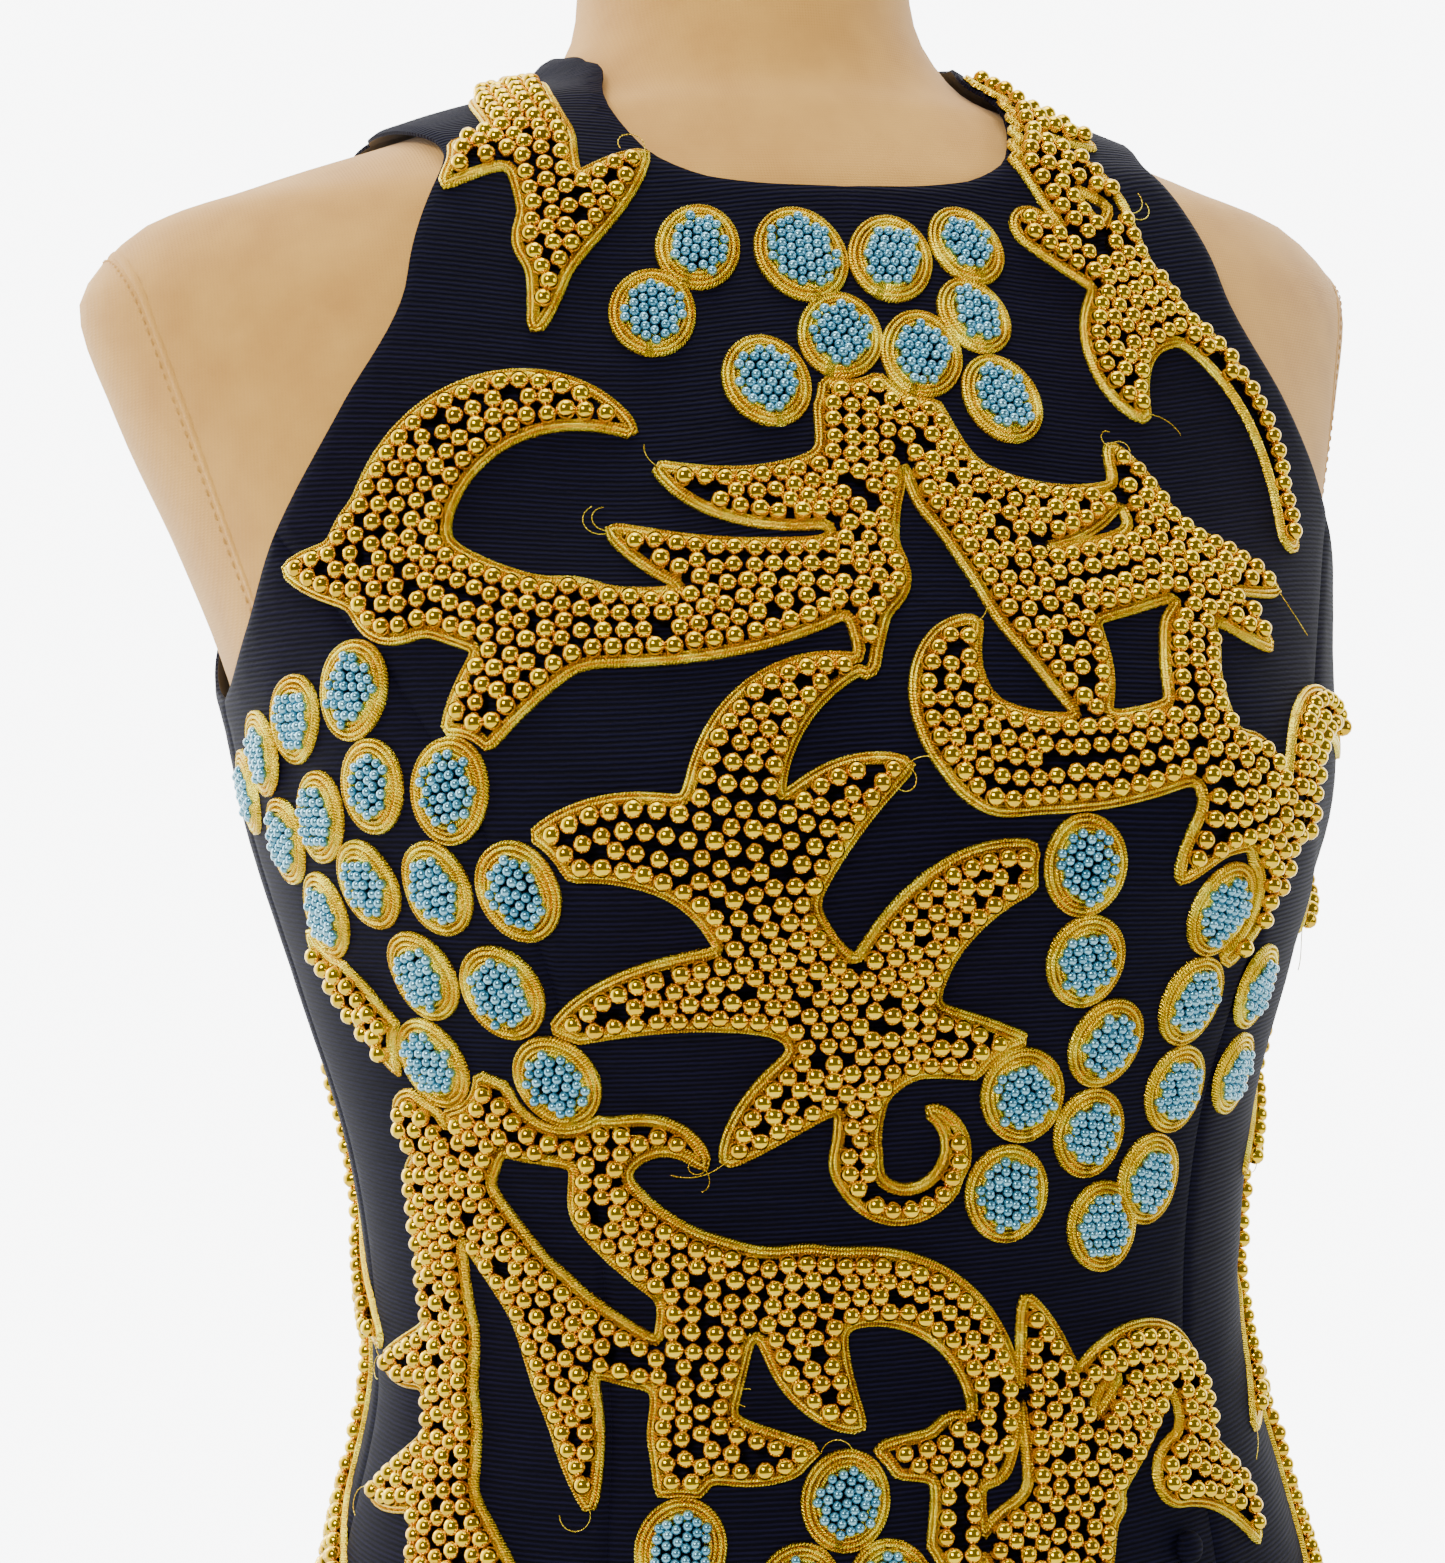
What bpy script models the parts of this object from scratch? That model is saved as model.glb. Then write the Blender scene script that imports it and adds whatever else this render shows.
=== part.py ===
"""A beaded cocktail dress on a limbless dress form.

The dress is a knee-length princess-line sheath with a high round neck and cut-in armholes. Its seven
panels are cloth walls over one general figure, given by the table RINGS, with a centre back zip and two
covered buttons. A vine of leaf sprays and grape bunches, sewn on in beads and braid, is raised in the
panels' outer points. The form stands on a pole and a round foot. Front faces -Y. The tables below are in
millimetres and degrees, and the meshes are made in metres.
"""

import math
from collections import namedtuple

import bmesh
import bpy
import numpy as np
from mathutils import Vector, geometry

MM = 0.001

# Level rings of the figure from hem to neck. front and back are the depths from the ring's widest line,
# which lies set_back behind the pole's axis
Ring = namedtuple("Ring", "name height half_width front back set_back squareness")
RINGS = (
    Ring("hem", 520, 160, 112, 116, 0, 2.15),
    Ring("thigh", 680, 168, 115, 124, 0, 2.15),
    Ring("hip", 850, 169, 114, 126, 0, 2.2),
    Ring("high_hip", 950, 150, 106, 110, 0, 2.2),
    Ring("below_waist", 1010, 133, 101, 91, 0, 2.2),
    Ring("waist", 1060, 122, 98, 82, 0, 2.2),
    Ring("ribs", 1120, 127, 105, 88, 0, 2.25),
    Ring("under_bust", 1165, 139, 117, 96, 0, 2.3),
    Ring("bust", 1210, 151, 127, 103, 1, 2.35),
    Ring("underarm", 1245, 157, 122, 104, 4, 2.3),
    Ring("chest", 1285, 170, 113, 96, 12, 2.1),
    Ring("upper_chest", 1325, 186, 106, 84, 20, 1.95),
    Ring("shoulder_cap", 1354, 194, 98, 74, 24, 1.9),
    Ring("cap_top", 1374, 181, 91, 68, 25, 1.9),
    Ring("shoulder", 1387, 150, 84, 62, 25, 1.9),
    Ring("inner_shoulder", 1401, 106, 75, 56, 24, 1.95),
    Ring("neck_base", 1417, 63, 63, 51, 20, 2.0),
    Ring("low_neck", 1431, 52, 57, 49, 16, 2.0),
    Ring("neck", 1460, 48.5, 53, 48, 13, 2.0),
    Ring("neck_top", 1496, 47.5, 52, 48, 11, 2.0),
)

# The two swells of the bust, above the rings
BUST_X, BUST_Z, BUST_OUT, BUST_WIDE, BUST_TALL = 84, 1208, 10, 46, 48

# Cloth, and how far its inner face stands off the form, whose facets are coarser than the true curve
CLOTH = 1.8
LIFT = 1.9
SEAM = 0.3
HEM_Z = 520

# Seams as places on the figure: height and angle from centre front
Place = namedtuple("Place", "height angle")
FRONT_SEAM = (
    Place(520, 40), Place(850, 42), Place(960, 45), Place(1060, 45), Place(1127, 44),
    Place(1177, 45), Place(1210, 49), Place(1245, 57), Place(1268, 64), Place(1286, 69),
)
BACK_SEAM = (
    Place(520, 140), Place(850, 139), Place(1060, 137), Place(1150, 133), Place(1210, 127),
    Place(1250, 119), Place(1286, 111),
)
ARMHOLE_FRONT = (
    Place(1245, 90), Place(1249, 84), Place(1263, 75.5), Place(1286, 69), Place(1318, 61),
    Place(1350, 56), Place(1376, 56), Place(1388, 60), Place(1396, 72), Place(1400, 90),
)
ARMHOLE_BACK = (
    Place(1245, 90), Place(1249, 96), Place(1263, 104.5), Place(1286, 111), Place(1318, 117),
    Place(1350, 119), Place(1376, 117), Place(1388, 111), Place(1396, 102), Place(1400, 90),
)
NECKLINE = (
    Place(1373, 0), Place(1374.5, 18), Place(1377, 25), Place(1382, 31), Place(1392, 37),
    Place(1401, 42), Place(1410, 48), Place(1417, 58), Place(1421, 72), Place(1424, 90),
    Place(1424, 110), Place(1420, 140), Place(1416, 165), Place(1415, 180),
)

# Centre back zip
ZIP_BOTTOM, ZIP_TOP = 965, 1405
CHAIN_WIDE, CHAIN_THICK = 5.0, 2.2
SLIDER_WIDE, SLIDER_TALL, SLIDER_THICK = 8.0, 10.0, 2.4
PIN_RADIUS, PIN_OUT, LUG = 0.8, 2.2, 1.2
TAB_WIDE, TAB_LONG, TAB_THICK, TAB_EYE = 4.4, 24.0, 1.4, 2.6

# Covered buttons at the front hip
BUTTON_RADIUS, BUTTON_THICK, BUTTON_ANGLE, BUTTON_Z, BUTTON_GAP = 4.6, 3.6, 39, 1008, 0.6

# The stand
FORM_BOTTOM, FORM_TOP = 842, 1496
POLE_RADIUS = 16
FOOT_RADIUS, FOOT_THICK, FOOT_BOSS = 165, 22, 30

# The sewn vine. A stem walks over the cloth from its place: heading 0 is towards the wearer's left and
# 90 is up, turn is how far it turns to the left on its way, and wide and thin are the half widths of its
# two ends. One with a thin end of 0 tapers as a leaf does. A row with 2 copies is on both sides.
Stem = namedtuple("Stem", "name angle height heading length turn wide thin copies")
STEMS = (
    Stem("right_shoulder", -62, 1404, -56, 100, -56, 11, 0, 1),
    Stem("chest_sweep", -15, 1261, 200, 118, -62, 10, 12.5, 1),
    Stem("chest_hook", -56, 1268, 112, 98, -164, 14.5, 0, 1),
    Stem("twin_right", -4, 1320, -94, 90, -6, 11.5, 0, 1),
    Stem("twin_left", 2, 1318, -76, 72, 16, 9, 12.5, 1),
    Stem("twin_bridge", 14, 1262, 2, 50, 22, 12.5, 11.5, 1),
    Stem("left_shoulder", 50, 1408, -128, 64, 74, 9, 7, 1),
    Stem("left_bend", 30, 1362, -42, 40, 24, 7, 7, 1),
    Stem("left_arm", 42, 1342, -18, 84, -92, 7, 5, 1),
    Stem("bust_wing", 27, 1222, 194, 48, -24, 11, 13, 1),
    Stem("bust_fork", 33, 1248, -116, 46, 66, 9, 11.5, 1),
    Stem("bust_tail", 37, 1213, -40, 64, -112, 11.5, 0, 1),
    Stem("side_arch", 46, 1204, 85, 70, -150, 10, 0, 1),
    Stem("centre", -25, 1198, -60, 62, 8, 12.5, 12.5, 1),
    Stem("centre_foot", -13, 1155, -4, 50, -16, 12.5, 7, 1),
    Stem("tendril", -9, 1152, -102, 32, 12, 7, 6, 1),
    Stem("waist_hook", -19, 1088, 178, 54, -52, 12.5, 10, 1),
    Stem("waist_leaf", -31, 1090, -100, 68, -2, 12.5, 0, 1),
    Stem("waist_arch", -19, 1086, 22, 84, -134, 11.5, 7, 1),
    Stem("waist_tongue", -19, 1088, -98, 42, 62, 11.5, 0, 1),
    Stem("low_turn", 3, 1047, -88, 74, -34, 7, 10, 1),
    Stem("low_blade", 20, 1022, 88, 64, 24, 12.5, 0, 1),
    Stem("low_sweep", 12, 1018, 26, 60, 28, 11.5, 10, 1),
    Stem("hook", 44, 1033, 68, 100, 262, 9, 4, 1),
    Stem("low_right", 40, 1028, -5, 46, -75, 10, 0, 1),
    Stem("low_base", 21, 1019, -100, 62, 10, 12.5, 10, 1),
    Stem("low_left", -36, 1004, -96, 52, 8, 11.5, 10, 1),
    Stem("side_vine", -75, 1180, -60, 74, 40, 7, 10, 1),
    Stem("side_two", -66, 1133, -62, 62, 10, 10, 10, 1),
    Stem("side_three", -67, 1115, -92, 152, 4, 10, 11.5, 1),
    Stem("far_arm", 80, 1234, -96, 74, 14, 9, 9, 1),
    Stem("far_vine", 80, 1138, -90, 172, -6, 10, 10, 1),
    Stem("back_shoulder", -120, 1396, -118, 84, 48, 10, 0, 2),
    Stem("back_twin", -171, 1332, -94, 92, 14, 10, 0, 2),
    Stem("back_sweep", -162, 1258, -20, 96, 56, 10, 12.5, 2),
    Stem("back_hook", -131, 1274, 44, 100, 184, 13.5, 0, 2),
    Stem("back_centre", -154, 1210, -98, 86, 16, 12.5, 11.5, 2),
    Stem("back_scroll", -150, 1122, -60, 116, -205, 11.5, 5, 2),
    Stem("back_low", -162, 1086, -92, 94, -8, 11.5, 11.5, 2),
    Stem("back_side", -108, 1136, -86, 176, 8, 10, 10, 2),
)

# Leaves leave their stem at a part of its length, spread from its heading, and turn as they grow
Leaf = namedtuple("Leaf", "stem at spread length turn half_width")
LEAVES = (
    Leaf("right_shoulder", 0.34, -98, 42, 58, 10), Leaf("right_shoulder", 0.66, 140, 38, -6, 10),
    Leaf("chest_sweep", 0.50, 46, 52, 46, 12.5), Leaf("chest_hook", 0.04, 66, 36, 2, 10),
    Leaf("twin_right", 0.32, -54, 58, -72, 11), Leaf("twin_right", 0.64, -72, 70, -50, 12),
    Leaf("twin_left", 0.46, 36, 56, 72, 11.5), Leaf("twin_left", 1.00, -4, 34, -24, 12.5),
    Leaf("twin_bridge", 0.94, 72, 36, 20, 10), Leaf("twin_bridge", 0.94, -30, 42, -16, 10),
    Leaf("twin_bridge", 0.84, -58, 42, -6, 10), Leaf("left_shoulder", 0.30, 84, 30, -20, 9),
    Leaf("left_shoulder", 0.56, 62, 34, -34, 9), Leaf("left_arm", 0.02, 124, 34, -40, 10),
    Leaf("left_arm", 0.03, -140, 44, 112, 13.5), Leaf("bust_wing", 0.98, -14, 46, -136, 13),
    Leaf("bust_fork", 0.00, 180, 22, -46, 7), Leaf("bust_tail", 0.04, -112, 36, 40, 10),
    Leaf("centre", 0.02, 162, 72, -104, 12.5), Leaf("centre", 0.14, 190, 74, 100, 12.5),
    Leaf("centre", 0.22, 130, 56, -66, 12.5), Leaf("centre", 0.66, 218, 74, 54, 12.5),
    Leaf("centre", 0.98, 258, 46, 30, 11.5), Leaf("centre_foot", 0.22, 100, 78, -112, 13.5),
    Leaf("tendril", 0.98, 4, 66, 290, 6), Leaf("waist_hook", 0.98, -6, 50, -210, 8),
    Leaf("waist_leaf", 0.56, 72, 36, 40, 9.5), Leaf("low_turn", 0.06, -96, 30, 10, 7),
    Leaf("low_turn", 0.60, 50, 40, 30, 10), Leaf("low_turn", 1.00, 0, 40, -20, 10),
    Leaf("low_base", 0.50, -60, 42, -24, 10), Leaf("low_base", 0.66, 62, 46, 24, 10),
    Leaf("low_base", 1.00, 0, 30, 10, 10), Leaf("low_left", 0.40, -58, 40, -26, 10),
    Leaf("low_left", 0.60, 56, 42, 26, 10), Leaf("low_left", 1.00, 0, 34, -8, 10),
    Leaf("side_vine", 0.84, -74, 36, -24, 9), Leaf("side_vine", 1.00, 0, 34, 16, 10),
    Leaf("side_two", 0.94, 18, 46, 20, 10), Leaf("side_two", 0.90, -24, 58, -4, 10),
    Leaf("side_three", 0.28, -62, 38, -26, 9), Leaf("side_three", 0.48, -56, 40, -20, 10),
    Leaf("side_three", 0.56, 44, 68, -12, 11.5), Leaf("side_three", 0.78, -46, 48, -12, 10),
    Leaf("side_three", 1.00, 0, 40, 6, 10), Leaf("far_arm", 0.30, 60, 42, 34, 9),
    Leaf("far_arm", 0.66, -58, 44, -26, 9), Leaf("far_arm", 1.00, 0, 36, 10, 9),
    Leaf("far_vine", 0.08, -52, 46, -14, 10), Leaf("far_vine", 0.28, 46, 48, 14, 10),
    Leaf("far_vine", 0.48, -46, 50, -12, 10), Leaf("far_vine", 0.68, 44, 52, 10, 10),
    Leaf("far_vine", 0.88, -38, 46, -8, 10), Leaf("far_vine", 1.00, 0, 40, 6, 10),
    Leaf("back_shoulder", 0.40, 101, 38, -60, 9), Leaf("back_shoulder", 0.56, -138, 32, -5, 7),
    Leaf("back_twin", 0.24, 54, 60, 72, 10), Leaf("back_sweep", 0.60, -56, 46, -60, 11.5),
    Leaf("back_centre", 0.06, 152, 70, -96, 11.5), Leaf("back_centre", 0.34, 62, 62, 56, 11.5),
    Leaf("back_centre", 0.62, -74, 36, -44, 10), Leaf("back_centre", 1.00, 6, 52, 36, 11.5),
    Leaf("back_low", 0.26, 64, 56, 46, 11.5), Leaf("back_low", 0.60, 58, 54, 34, 11.5),
    Leaf("back_low", 0.52, -62, 34, -26, 9), Leaf("back_low", 1.00, 0, 44, 10, 11.5),
    Leaf("back_side", 0.06, -46, 44, -12, 10), Leaf("back_side", 0.26, 48, 52, 14, 10),
    Leaf("back_side", 0.46, -46, 50, -14, 10), Leaf("back_side", 0.68, 44, 54, 12, 10),
    Leaf("back_side", 0.88, -40, 46, -10, 10), Leaf("back_side", 1.00, 2, 38, 6, 10),
)

# Bunches of grapes, each grape at its own angle and height and with its own radius
Bunch = namedtuple("Bunch", "name copies grapes")
BUNCHES = (
    Bunch("neck", 1, (
        (-24, 1355, 12.2), (-9, 1353, 13.6), (5, 1352, 12.8), (18, 1356, 11.6), (-30, 1337, 12.4),
        (-5, 1330, 12.4), (6.5, 1325, 12.4), (16, 1336, 11.2), (-16, 1318, 12.6), (17, 1313, 12.4),
    )),
    Bunch("arm", 1, (
        (-61.5, 1244, 12.2), (-70, 1238, 11.4), (-77.5, 1230, 11.2), (-85, 1220, 11.2),
        (-51.5, 1218, 12.4), (-60, 1220, 11.4), (-68, 1213, 11.4), (-76, 1207, 11.2),
        (-46, 1194, 12.2), (-54.5, 1195, 11.6), (-63, 1196, 11.4), (-71.5, 1188, 11.4),
        (-59, 1173, 11.8), (-50, 1169, 12.4), (-61, 1150, 12), (-46, 1146, 12.2),
    )),
    Bunch("waist", 1, (
        (16, 1194, 12.4), (18, 1170, 12.2), (35.5, 1181, 12.6), (35, 1157, 12.2), (48, 1158, 11.6),
        (23, 1148, 12), (36.5, 1133, 12.2), (49, 1134, 11.4), (12, 1136, 12.8), (23, 1124, 12),
        (34.5, 1109, 12.2), (11, 1110, 12.8), (27, 1098, 12.2),
    )),
    Bunch("low", 1, ((-14, 1034, 12.6), (-36, 1024, 12.6), (-21, 1012, 12.2), (-8, 1011, 12.4))),
    Bunch("back", 2, (
        (-121, 1234, 11.8), (-130.5, 1236, 12), (-112, 1226, 11.4), (-125.5, 1213, 12),
        (-135, 1215, 12.2), (-116, 1205, 11.6), (-129.5, 1190, 12), (-120.5, 1184, 11.8),
        (-139, 1193, 11.8), (-134, 1168, 12), (-125, 1164, 12), (-129.5, 1144, 12.2),
    )),
)

# How the sewn vine stands on the cloth: its height, its sloping edge, and its distance from a seam and
# from a button. Stems and leaves flow together over the blend
RELIEF, EDGE, FROM_SEAM, FROM_BUTTON, BLEND = 4.0, 1.7, 1.6, 2.8, 1.5
VINE_BOTTOM = 940
# The vine's outlines: how closely they are kept, the shortest that is raised at its foot and at its rim,
# and how far the plain cloth's points stay from them
OUTLINE_TOLERANCE = 0.85
SHORTEST_FOOT, SHORTEST_RIM = 42, 24
CLEAR_OF_VINE = 4.5

# How far apart the cloth's points lie below each height, closer where it is closely curved, and the
# pitch of the grid over which the vine's outlines are found
Pitch = namedtuple("Pitch", "below around up")
PITCHES = (Pitch(960, 29, 48), Pitch(1150, 25, 32), Pitch(9999, 20, 20))
FIELD = 2.4

COLOURS = {
    "cloth": (0.012, 0.014, 0.028, 1),
    "linen": (0.52, 0.39, 0.25, 1),
    "metal": (0.62, 0.60, 0.55, 1),
    "wood": (0.20, 0.12, 0.07, 1),
}


def curve_slopes(x, y):
    """Slopes at the knots of a curve through them that never swings past them."""
    h = np.diff(x)
    d = np.diff(y) / h
    inner = (d[:-1] * h[1:] + d[1:] * h[:-1]) / (h[:-1] + h[1:])
    limit = 3 * np.minimum(np.abs(d[:-1]), np.abs(d[1:]))
    inner = np.where(d[:-1] * d[1:] <= 0, 0, np.clip(inner, -limit, limit))
    return np.concatenate([[d[0]], inner, [d[-1]]])


def curve_at(x, y, m, at):
    """The smooth curve through the knots (x, y) with slopes m, read at the places given."""
    at = np.clip(at, x[0], x[-1])
    i = np.clip(np.searchsorted(x, at, side="right") - 1, 0, len(x) - 2)
    h = x[i + 1] - x[i]
    u = (at - x[i]) / h
    start = (2 * u**3 - 3 * u**2 + 1) * y[i] + (u**3 - 2 * u**2 + u) * h * m[i]
    return start + (3 * u**2 - 2 * u**3) * y[i + 1] + (u**3 - u**2) * h * m[i + 1]


COLUMNS = [np.array(column, float) for column in zip(*[ring[1:] for ring in RINGS])]
# The run is the way up the figure's side, which keeps growing where the shoulders are nearly level
RUN = np.concatenate([[0], np.cumsum(np.hypot(np.diff(COLUMNS[0]), np.diff(COLUMNS[1])))])
SLOPES = [curve_slopes(RUN, column) for column in COLUMNS]


def figure(angle, run):
    """Points of the bare figure at an angle from centre front and a run up its side."""
    angle, run = np.broadcast_arrays(np.asarray(angle, float), np.asarray(run, float))
    height, wide, front, back, set_back, square = (
        curve_at(RUN, column, slope, run) for column, slope in zip(COLUMNS, SLOPES)
    )
    s, c = np.sin(angle), np.cos(angle)
    deep = np.where(c > 0, front, back)
    r = (np.abs(s / wide) ** square + np.abs(c / deep) ** square) ** (-1 / square)
    x, y = r * s, set_back - r * c
    near = ((np.abs(x) - BUST_X) / BUST_WIDE) ** 2 + ((height - BUST_Z) / BUST_TALL) ** 2
    y = y - np.where(c > 0, BUST_OUT * np.exp(-near) * c, 0)
    return np.stack([x, y, height], -1)


def figure_frame(angle, run):
    """How the figure's points move with angle and with run, and the normal that points out."""
    across = (figure(angle + 1e-3, run) - figure(angle - 1e-3, run)) / 2e-3
    up = figure(angle, run + 0.5) - figure(angle, run - 0.5)
    normal = np.cross(across, up)
    return across, up, normal / np.linalg.norm(normal, axis=-1, keepdims=True)


def on_figure(angle, run, out):
    """Points moved out from the figure."""
    return figure(angle, run) + figure_frame(angle, run)[2] * np.expand_dims(out, -1)


RUN_GRID = np.linspace(RUN[0], RUN[-1], 4001)
HEIGHT_GRID = curve_at(RUN, COLUMNS[0], SLOPES[0], RUN_GRID)


def run_at(height):
    return np.interp(height, HEIGHT_GRID, RUN_GRID)


def height_at(run):
    return np.interp(run, RUN_GRID, HEIGHT_GRID)


def seam_angle(places, run):
    """Angle of a seam at a run, in radians."""
    x = run_at(np.array([p.height for p in places], float))
    y = np.radians([p.angle for p in places])
    return curve_at(x, y, curve_slopes(x, y), run)


def neck_run(angle):
    """Run of the neck edge at an angle of either sign."""
    x = np.radians([p.angle for p in NECKLINE])
    y = run_at(np.array([p.height for p in NECKLINE], float))
    return curve_at(x, y, curve_slopes(x, y), np.abs(angle))


def armhole(places):
    """The armhole's front or back half, from the underarm to the shoulder, as angles and runs."""
    run = run_at(np.array([p.height for p in places], float))
    angle = np.radians([p.angle for p in places])
    way = np.concatenate([[0], np.cumsum(np.hypot(np.diff(run), 130 * np.diff(angle)))])
    at = np.linspace(0, way[-1], 25)
    angles = curve_at(way, angle, curve_slopes(way, angle), at)
    return np.stack([angles, curve_at(way, run, curve_slopes(way, run), at)], -1)


def steps(start, stop, pitch):
    """Evenly spaced values from start to stop, both included, at most a pitch apart."""
    return np.linspace(start, stop, max(2, math.ceil(abs(stop - start) / pitch) + 1))


def girth_scale(points):
    """Length of one radian round the figure at each point, in mm."""
    return np.linalg.norm(figure_frame(points[:, 0], points[:, 1])[0], axis=1)


def shifted(points, by):
    """Points moved round the figure by a length in mm."""
    out = points.copy()
    out[:, 0] += by / girth_scale(points)
    return out


def pitch_at(run):
    """The row of PITCHES for the cloth at a run."""
    height = height_at(run)
    return next(row for row in PITCHES if height < row.below)


def rows_up(low, high):
    """Runs from low to high, both included, spaced as the cloth's points are there."""
    rows = [low]
    while high - rows[-1] > 1.4 * pitch_at(rows[-1]).up:
        rows.append(rows[-1] + pitch_at(rows[-1]).up)
    return np.array([*rows, high])


# Panels as closed outlines of (angle, run), for the wearer's left half
def seam_line(places, low, high):
    runs = rows_up(low, high)
    return np.stack([seam_angle(places, runs), runs], -1)


def level_line(run, first, last):
    angles = steps(first, last, math.radians(9))
    return np.stack([angles, np.full(len(angles), run)], -1)


def neck_line(first, last):
    angles = steps(first, last, math.radians(6.5))
    return np.stack([angles, neck_run(angles)], -1)


def shoulder_line(low, high):
    runs = rows_up(low, high)
    return np.stack([np.full(len(runs), math.radians(90)), runs], -1)


HEM = run_at(HEM_Z)
JUNCTION = run_at(FRONT_SEAM[-1].height)
HALF = SEAM / 2


def armhole_parts(places):
    """The armhole below and above the place where the princess seam meets it."""
    line = armhole(places)
    k = int(np.searchsorted(line[:, 1], JUNCTION))
    seam = FRONT_SEAM if places is ARMHOLE_FRONT else BACK_SEAM
    meet = np.array([[seam_angle(seam, JUNCTION), JUNCTION]])
    return np.concatenate([line[:k - 1], meet]), np.concatenate([meet, line[k + 1:]])


def joined(*lines):
    """Lines end to end as one closed outline, without points that nearly coincide."""
    points = []
    for point in np.concatenate(lines):
        if not points or np.hypot((point[0] - points[-1][0]) * 60, point[1] - points[-1][1]) > 1.2:
            points.append(point)
    return np.array(points)


def mirrored(outline):
    return outline[::-1] * [-1, 1]


def shoulder_seam(places, by):
    """The shoulder seam from the armhole to the neck, moved round the figure by a length in mm."""
    line = shoulder_line(run_at(places[-1].height), neck_run(math.radians(90)))
    return shifted(line, by)


def side_seam(seam, under, by):
    """The side seam from the hem to the underarm, with as many points as the princess seam."""
    runs = np.linspace(HEM, under[0, 1], len(seam))
    return shifted(np.stack([np.full(len(seam), math.radians(90)), runs], -1), by)


def front_centre_outline():
    seam = shifted(seam_line(FRONT_SEAM, HEM, JUNCTION), -HALF)
    above = shifted(armhole_parts(ARMHOLE_FRONT)[1], -HALF)
    shoulder = shoulder_seam(ARMHOLE_FRONT, -HALF)
    neck = neck_line(shoulder[-1, 0], 0)
    half = np.concatenate([seam, above[1:], shoulder[1:], neck[1:]])
    hem = level_line(HEM, 0, seam[0, 0])
    right = joined(hem, half[1:])
    return np.concatenate([right, mirrored(right)[1:-1]])


def side_front_outline():
    seam = shifted(seam_line(FRONT_SEAM, HEM, JUNCTION), HALF)
    under = armhole_parts(ARMHOLE_FRONT)[0]
    side = side_seam(seam, under, -HALF)
    return joined(level_line(HEM, seam[0, 0], side[0, 0]), side[1:], under[1:-1], seam[::-1][:-1])


def side_back_outline():
    seam = shifted(seam_line(BACK_SEAM, HEM, JUNCTION), -HALF)
    under = armhole_parts(ARMHOLE_BACK)[0]
    side = side_seam(seam, under, HALF)
    return joined(level_line(HEM, side[0, 0], seam[0, 0]), seam[1:], under[::-1][1:], side[::-1][1:-1])


def back_outline():
    seam = shifted(seam_line(BACK_SEAM, HEM, JUNCTION), HALF)
    above = shifted(armhole_parts(ARMHOLE_BACK)[1], HALF)
    shoulder = shoulder_seam(ARMHOLE_BACK, HALF)
    low, high = run_at(ZIP_BOTTOM), neck_run(math.pi)
    back = np.concatenate([rows_up(HEM, low - 3), rows_up(low - 1, high)])
    edge = np.stack([np.full(len(back), math.pi), back], -1)
    edge = shifted(edge, -np.where(back < low - 2, HALF, CHAIN_WIDE / 2 + SEAM))
    neck = neck_line(edge[-1, 0], shoulder[-1, 0])
    left = np.concatenate([seam, above[1:], shoulder[1:]])
    return joined(level_line(HEM, seam[0, 0], edge[0, 0]), edge[1:], neck[1:-1], left[::-1][:-1])


def walk(angle, run, heading, length, turn, count=26):
    """Paths over the cloth, all at once: the angle, run and heading at each of count steps."""
    angle, run, heading = (np.array(v, float) for v in (angle, run, heading))
    length, turn = np.array(length, float), np.radians(turn)
    path = [(angle.copy(), run.copy(), heading.copy())]
    for _ in range(count - 1):
        across, up, _normal = figure_frame(angle, run)
        wide = np.linalg.norm(across, axis=-1)
        lean = (across * up).sum(-1) / wide
        rise = np.sqrt((up**2).sum(-1) - lean**2)
        stride = length / (count - 1)
        by = np.sin(heading) * stride / rise
        angle = angle + (np.cos(heading) * stride - by * lean) / wide
        run = run + by
        heading = heading + turn / (count - 1)
        path.append((angle.copy(), run.copy(), heading.copy()))
    return [np.stack(part, -1) for part in zip(*path)]


def copies_of(rows):
    """Each row with the sign 1, and again with -1 for the other side where it has 2 copies."""
    return [(row, sign) for row in rows for sign in (1, -1)[:row.copies]]


def tapered(half_width, part):
    """Half widths along a leaf, which holds its width for long and then comes to a point."""
    return np.maximum(half_width * (1 - part**2.2) ** 0.8, 0.6)


def vine_strokes():
    """Every stem and leaf as a row of discs on the cloth: centres in mm, and radii."""
    starts = copies_of(STEMS)
    headings = [math.radians(row.heading) for row, _ in starts]
    stems = walk(
        [math.radians(row.angle) * sign for row, sign in starts],
        run_at(np.array([row.height for row, _ in starts], float)),
        [heading if sign > 0 else math.pi - heading for heading, (_, sign) in zip(headings, starts)],
        [row.length for row, _ in starts], [row.turn * sign for row, sign in starts],
    )
    part = np.linspace(0, 1, stems[0].shape[1])
    widths = [
        row.wide + (row.thin - row.wide) * part if row.thin else tapered(row.wide, part)
        for row, _ in starts
    ]
    rows = []
    for k, (stem, sign) in enumerate(starts):
        for leaf in (leaf for leaf in LEAVES if leaf.stem == stem.name):
            angle, run, heading = (np.interp(leaf.at, part, stems[i][k]) for i in range(3))
            rows.append((angle, run, heading + math.radians(leaf.spread) * sign, leaf, leaf.turn * sign))
    angles, runs, headings, leaves, turns = zip(*rows)
    blades = walk(angles, runs, headings, [leaf.length for leaf in leaves], turns)
    widths += [tapered(leaf.half_width, part) for leaf in leaves]
    angles = np.concatenate([stems[0], blades[0]])
    runs = np.concatenate([stems[1], blades[1]])
    return on_figure(angles, runs, CLOTH + LIFT), np.array(widths)


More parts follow.
